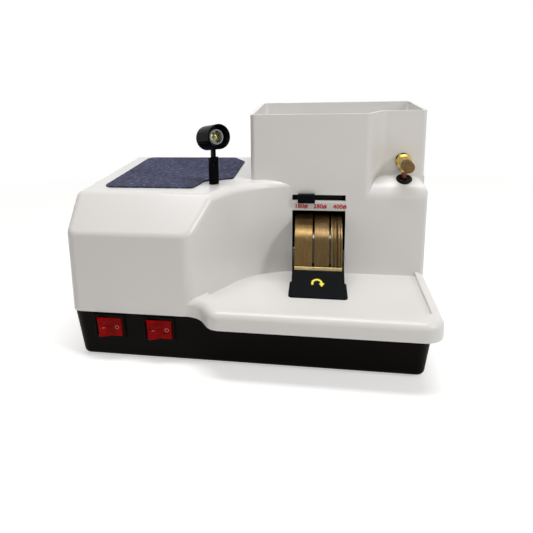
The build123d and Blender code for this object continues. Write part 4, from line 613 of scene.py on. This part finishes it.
class EDGER_OT_switches(bpy.types.Operator):
    """Finishes the rockers and prints their marks"""

    bl_idname = "edger.switches"
    bl_label = "Rocker switches"

    def execute(self, context):
        """The on mark is a short bar and the off mark a ring, each lying on its half of the V face."""
        fitting = context.scene.edger_fittings
        red = clear_red("rocker_red", fitting.rocker)
        mark = printed("mark_grey", (0.42, 0.30, 0.30))
        for name, body in (("rocker_left", "left_rocker"), ("rocker_right", "right_rocker")):
            dress(nodes[name], red)
            for side in (-1, 1):
                matrix = rocker_face(body, side)
                turn = np.linspace(0, 2 * np.pi, 40, endpoint=False)
                if side < 0:
                    flat = np.stack((0.0002 * np.cos(turn), 0.0014 * np.sin(turn)), -1)
                    flat[:, 0] = np.clip(flat[:, 0] * 3, -0.0002, 0.0002)
                    piece = arrow_plate(flat @ np.array(((0, 1), (-1, 0))), matrix, f"{name}_on")
                else:
                    piece = ring_plate(0.0019, 0.0016, matrix, f"{name}_off")
                dress(piece, mark)
                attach(piece, body)
        return {"FINISHED"}


def rocker_face(body, side):
    """Matrix on one half of a rocker's V face, from its hinge: x across the switch, y up it, z out of the face."""
    joint = next(j for j in frame["joints"] if j["child"] == body)
    up = -Vector(joint["axis"]).normalized()
    across = Vector((1, 0, 0))
    out = across.cross(up)
    rest = Matrix.Rotation(math.radians(10.5), 3, up)
    slope = Matrix.Rotation(math.atan2(2.5, 16.0) * -side, 3, up)
    face_out, face_across = rest @ slope @ out, rest @ slope @ across
    middle = Vector(joint["pos_m"]) + rest @ (out * (0.0059 + 0.0065 * 2.5 / 16.0) + across * 0.0065 * side)
    turn = Matrix((face_across, up, face_out)).transposed().to_4x4()
    return Matrix.Translation(middle + face_out * 0.00001) @ turn


def ring_plate(outer, inner, matrix, name):
    """Flat ring: outer and inner circle at two heights, joined into a closed band."""
    turn = np.linspace(0, 2 * np.pi, 40, endpoint=False)
    circle = np.stack((np.cos(turn), np.sin(turn)), -1)
    rings = [np.column_stack((circle * radius, np.full(40, z))) for radius, z in
             ((outer, 0.00002), (outer, 0.00014), (inner, 0.00014), (inner, 0.00002), (outer, 0.00002))]
    placed = np.array(matrix)
    points = np.concatenate(rings) @ placed[:3, :3].T + placed[:3, 3]
    piece = mesh_piece(name, points, grid_faces(5, 40), smooth=False)
    recalculate(piece)
    return piece


class EDGER_OT_light(bpy.types.Operator):
    """Finishes the work light and adds its two glowing chips"""

    bl_idname = "edger.light"
    bl_label = "Work light"

    def execute(self, context):
        """Black anodised pieces, a metal cup darkened as painted shade, a clear lens and yellow phosphor domes."""
        black = cast("lamp_black", (0.0011, 0.0012, 0.0018), 0.20, 1600.0, gloss=0.03)
        for names, material in (
            (("lamp_post", "lamp_head", "lamp_bezel", "lamp_pin"), black),
            # Reflector cup: metal darkened to 0.22 as painted shade and painted dark reflection inside the light head.
            (("lamp_reflector",), turned("reflector", (0.22, 0.22, 0.22), 0.1, wear=0.9)),
            (("lamp_lens",), glassy("lens_clear", (0.96, 0.97, 0.93))),
            (("lamp_board",), printed("board_cream", (0.30, 0.30, 0.28), 0.5)),
        ):
            for name in names:
                dress(nodes[name], material)
        low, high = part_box("lamp_lens")
        centre = (Vector(low) + Vector(high)) / 2
        heading = math.radians(39.4)
        across = Vector((math.cos(heading), math.sin(heading), 0))
        ahead = Vector((math.sin(heading), -math.cos(heading), 0)) * math.cos(math.radians(10))
        ahead.z = math.sin(math.radians(10))
        up = ahead.cross(across) * -1
        phosphor = finish("chip_yellow", Base_Color=(0.95, 0.80, 0.02), Roughness=0.4, Emission_Color=(1.0, 0.86, 0.05), Emission_Strength=0.9)
        relief(phosphor, (clouds(phosphor, place(phosphor), 1500.0, 2.0), 0.2, 0.0001))
        turn, tilt = np.meshgrid(np.linspace(0, 2 * np.pi, 24, endpoint=False), np.linspace(0, np.pi / 2, 8))
        for index, side in enumerate((-1, 1)):
            base = centre - ahead * 0.0060 + across * 0.0020 * side
            flat = 0.0014 * np.cos(tilt)[..., None] * (np.cos(turn)[..., None] * np.array(across) + 1.5 * np.sin(turn)[..., None] * np.array(up))
            points = np.array(base) + flat + 0.0005 * np.sin(tilt)[..., None] * np.array(ahead)
            count = 24
            chip = mesh_piece(f"light_chip_{index + 1}", points, grid_faces(8, count), (range(count - 1, -1, -1),))
            recalculate(chip)
            dress(chip, phosphor)
            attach(chip, "light_head")
        return {"FINISHED"}


class EDGER_OT_selector(bpy.types.Operator):
    """Finishes the water selector's knob"""

    bl_idname = "edger.selector"
    bl_label = "Selector knob"

    def execute(self, context):
        """Ribbed plastic."""
        fitting = context.scene.edger_fittings
        dress(nodes["selector_knob"], moulded("knob_navy", fitting.knob, 0.35, grain=0.2, gloss=0.04))
        return {"FINISHED"}


class EDGER_OT_shading(bpy.types.Operator):
    """Smooths the round faces of the frame and keeps its sharp edges"""

    bl_idname = "edger.shading"
    bl_label = "Smooth shading"

    def execute(self, context):
        """Loose triangles are welded, split at sharp edges and shaded smooth with face-weighted normals."""
        for node in nodes.values():
            node.data.polygons.foreach_set("use_smooth", np.full(len(node.data.polygons), True))
            weld = node.modifiers.new("Join", "WELD")
            weld.merge_threshold = 2e-6
            split = node.modifiers.new("Edges", "EDGE_SPLIT")
            split.split_angle = math.radians(28)
            even = node.modifiers.new("Even", "WEIGHTED_NORMAL")
            even.keep_sharp = True
            even.weight = 80
        return {"FINISHED"}


class EDGER_OT_stage(bpy.types.Operator):
    """Sets the floor, the lights, the world and the camera"""

    bl_idname = "edger.stage"
    bl_label = "Stage"

    def execute(self, context):
        """Round floor that fades into a white surround, softboxes above and at both sides, and a shifted camera."""
        stage = context.scene.edger_stage
        radius = np.array((0.0, 0.3, 0.6, 1.0, 2.0, 6.0))[:, None]
        turn = np.linspace(0, 2 * np.pi, 64, endpoint=False)[None, :]
        points = np.stack((radius * np.cos(turn), radius * np.sin(turn), np.zeros((6, 64))), -1)
        floor = mesh_piece("floor", points, grid_faces(6, 64))
        dress(floor, floor_material(stage.floor))
        warm, plain = (1.0, 0.87, 0.72), (1.0, 1.0, 1.0)
        for name, power, size, spot, tone in (
            ("overhead_softbox", stage.key_power, (0.9, 0.26), (0.05, -0.20, 1.25), plain),
            ("overhead_strip", stage.strip_power, (1.0, 0.03), (0.05, 0.16, 1.20), plain),
            ("left_softbox", stage.side_power, (0.28, 0.28), (-1.0, -0.95, 0.95), warm),
            ("right_softbox", stage.fill_power, (0.24, 0.24), (1.15, -0.70, 0.85), plain),
        ):
            light = bpy.data.lights.new(name, "AREA")
            light.shape, light.color = "RECTANGLE", tone
            light.energy, (light.size, light.size_y) = power, size
            lamp = bpy.data.objects.new(name, light)
            lamp.location = spot
            lamp.rotation_euler = (Vector((0.05, -0.10, 0.1)) - Vector(spot)).to_track_quat("-Z", "Y").to_euler()
            bpy.context.scene.collection.objects.link(lamp)
        white_surround(stage.soft)
        camera = bpy.data.cameras.new("camera")
        camera.sensor_width, camera.lens = 36.0, stage.lens
        camera.shift_x, camera.shift_y = 0.1090, -0.1471
        camera.clip_start = 0.01
        view = bpy.data.objects.new("camera", camera)
        right, down, ahead = Vector((0.9819, 0.1869, -0.0313)), Vector((0.0124, -0.2281, -0.9735)), Vector((-0.1891, 0.9555, -0.2263))
        axes = Matrix((right, -down, -ahead)).transposed()
        view.matrix_world = Matrix.Translation((0.0638, -0.5784, 0.2872)) @ axes.to_quaternion().to_matrix().to_4x4()
        bpy.context.scene.collection.objects.link(view)
        bpy.context.scene.camera = view
        bpy.context.scene.view_settings.view_transform = "Standard"
        return {"FINISHED"}


def seen_straight(tree):
    """One for rays from the camera, and for what mirrors and glass show."""
    path = tree.nodes.new("ShaderNodeLightPath")
    last = path.outputs["Is Camera Ray"]
    for name in ("Is Glossy Ray", "Is Transmission Ray"):
        larger = tree.nodes.new("ShaderNodeMath")
        larger.operation = "MAXIMUM"
        tree.links.new(last, larger.inputs[0])
        tree.links.new(path.outputs[name], larger.inputs[1])
        last = larger.outputs[0]
    return last


def floor_material(base):
    """Pale floor, lifted to white where nothing shades it, that turns into plain white further out."""
    material = finish("floor_pale", Base_Color=base, Roughness=0.8)
    tree = material.node_tree
    shader = tree.nodes["Principled BSDF"]
    output = tree.nodes["Material Output"]
    length = tree.nodes.new("ShaderNodeVectorMath")
    length.operation = "LENGTH"
    tree.links.new(place(material), length.inputs[0])
    far = spread(material, length.outputs["Value"], 0.0, 1.0, 0.30, 0.95)
    straight = seen_straight(tree)
    both = tree.nodes.new("ShaderNodeMath")
    both.operation = "MULTIPLY"
    tree.links.new(far, both.inputs[0])
    tree.links.new(straight, both.inputs[1])
    white, glow = tree.nodes.new("ShaderNodeEmission"), tree.nodes.new("ShaderNodeEmission")
    white.inputs["Color"].default_value = (1.0, 1.0, 1.0, 1.0)
    glow.inputs["Color"].default_value = (1.0, 1.0, 1.0, 1.0)
    tree.links.new(spread(material, straight, 0.0, 0.5, 0.0, 1.0), glow.inputs["Strength"])
    lit = tree.nodes.new("ShaderNodeAddShader")
    tree.links.new(shader.outputs[0], lit.inputs[0])
    tree.links.new(glow.outputs[0], lit.inputs[1])
    mix = tree.nodes.new("ShaderNodeMixShader")
    tree.links.new(both.outputs[0], mix.inputs[0])
    tree.links.new(lit.outputs[0], mix.inputs[1])
    tree.links.new(white.outputs[0], mix.inputs[2])
    tree.links.new(mix.outputs[0], output.inputs["Surface"])
    return material


def white_surround(strength):
    """World that lights softly and looks white."""
    world = bpy.data.worlds.new("surround")
    world.use_nodes = True
    bpy.context.scene.world = world
    tree = world.node_tree
    soft = tree.nodes["Background"]
    soft.inputs["Color"].default_value = (1.0, 0.92, 0.82, 1.0)
    soft.inputs["Strength"].default_value = strength
    white = tree.nodes.new("ShaderNodeBackground")
    white.inputs["Color"].default_value = (1.0, 1.0, 1.0, 1.0)
    mix = tree.nodes.new("ShaderNodeMixShader")
    tree.links.new(seen_straight(tree), mix.inputs[0])
    tree.links.new(soft.outputs[0], mix.inputs[1])
    tree.links.new(white.outputs[0], mix.inputs[2])
    tree.links.new(mix.outputs[0], tree.nodes["World Output"].inputs["Surface"])


OPERATORS = (
    EDGER_OT_casing, EDGER_OT_felt, EDGER_OT_wheels, EDGER_OT_water, EDGER_OT_guard, EDGER_OT_numbers,
    EDGER_OT_switches, EDGER_OT_light, EDGER_OT_selector, EDGER_OT_shading, EDGER_OT_stage,
)


class EDGER_PT_panel(bpy.types.Panel):
    """Sidebar panel with every step"""

    bl_idname = "EDGER_PT_panel"
    bl_label = "Lens edger"
    bl_space_type = "VIEW_3D"
    bl_region_type = "UI"
    bl_category = "Lens edger"

    def draw(self, context):
        """One button for each operator."""
        for operator in OPERATORS:
            self.layout.operator(operator.bl_idname)


SETTINGS = {"edger_shell": ShellSettings, "edger_fittings": FittingSettings, "edger_stage": StageSettings}


def register():
    """Registers the settings, the operators and the panel."""
    for group in (*SETTINGS.values(), *OPERATORS, EDGER_PT_panel):
        bpy.utils.register_class(group)
    for name, group in SETTINGS.items():
        setattr(bpy.types.Scene, name, bpy.props.PointerProperty(type=group))


def unregister():
    """Takes them all out again."""
    for name in SETTINGS:
        delattr(bpy.types.Scene, name)
    for group in (EDGER_PT_panel, *reversed(OPERATORS), *reversed(list(SETTINGS.values()))):
        bpy.utils.unregister_class(group)


def main():
    """Runs every step in order."""
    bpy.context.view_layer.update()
    register()
    for operator in OPERATORS:
        group, name = operator.bl_idname.split(".")
        getattr(getattr(bpy.ops, group), name)()


if __name__ == "__main__":
    main()
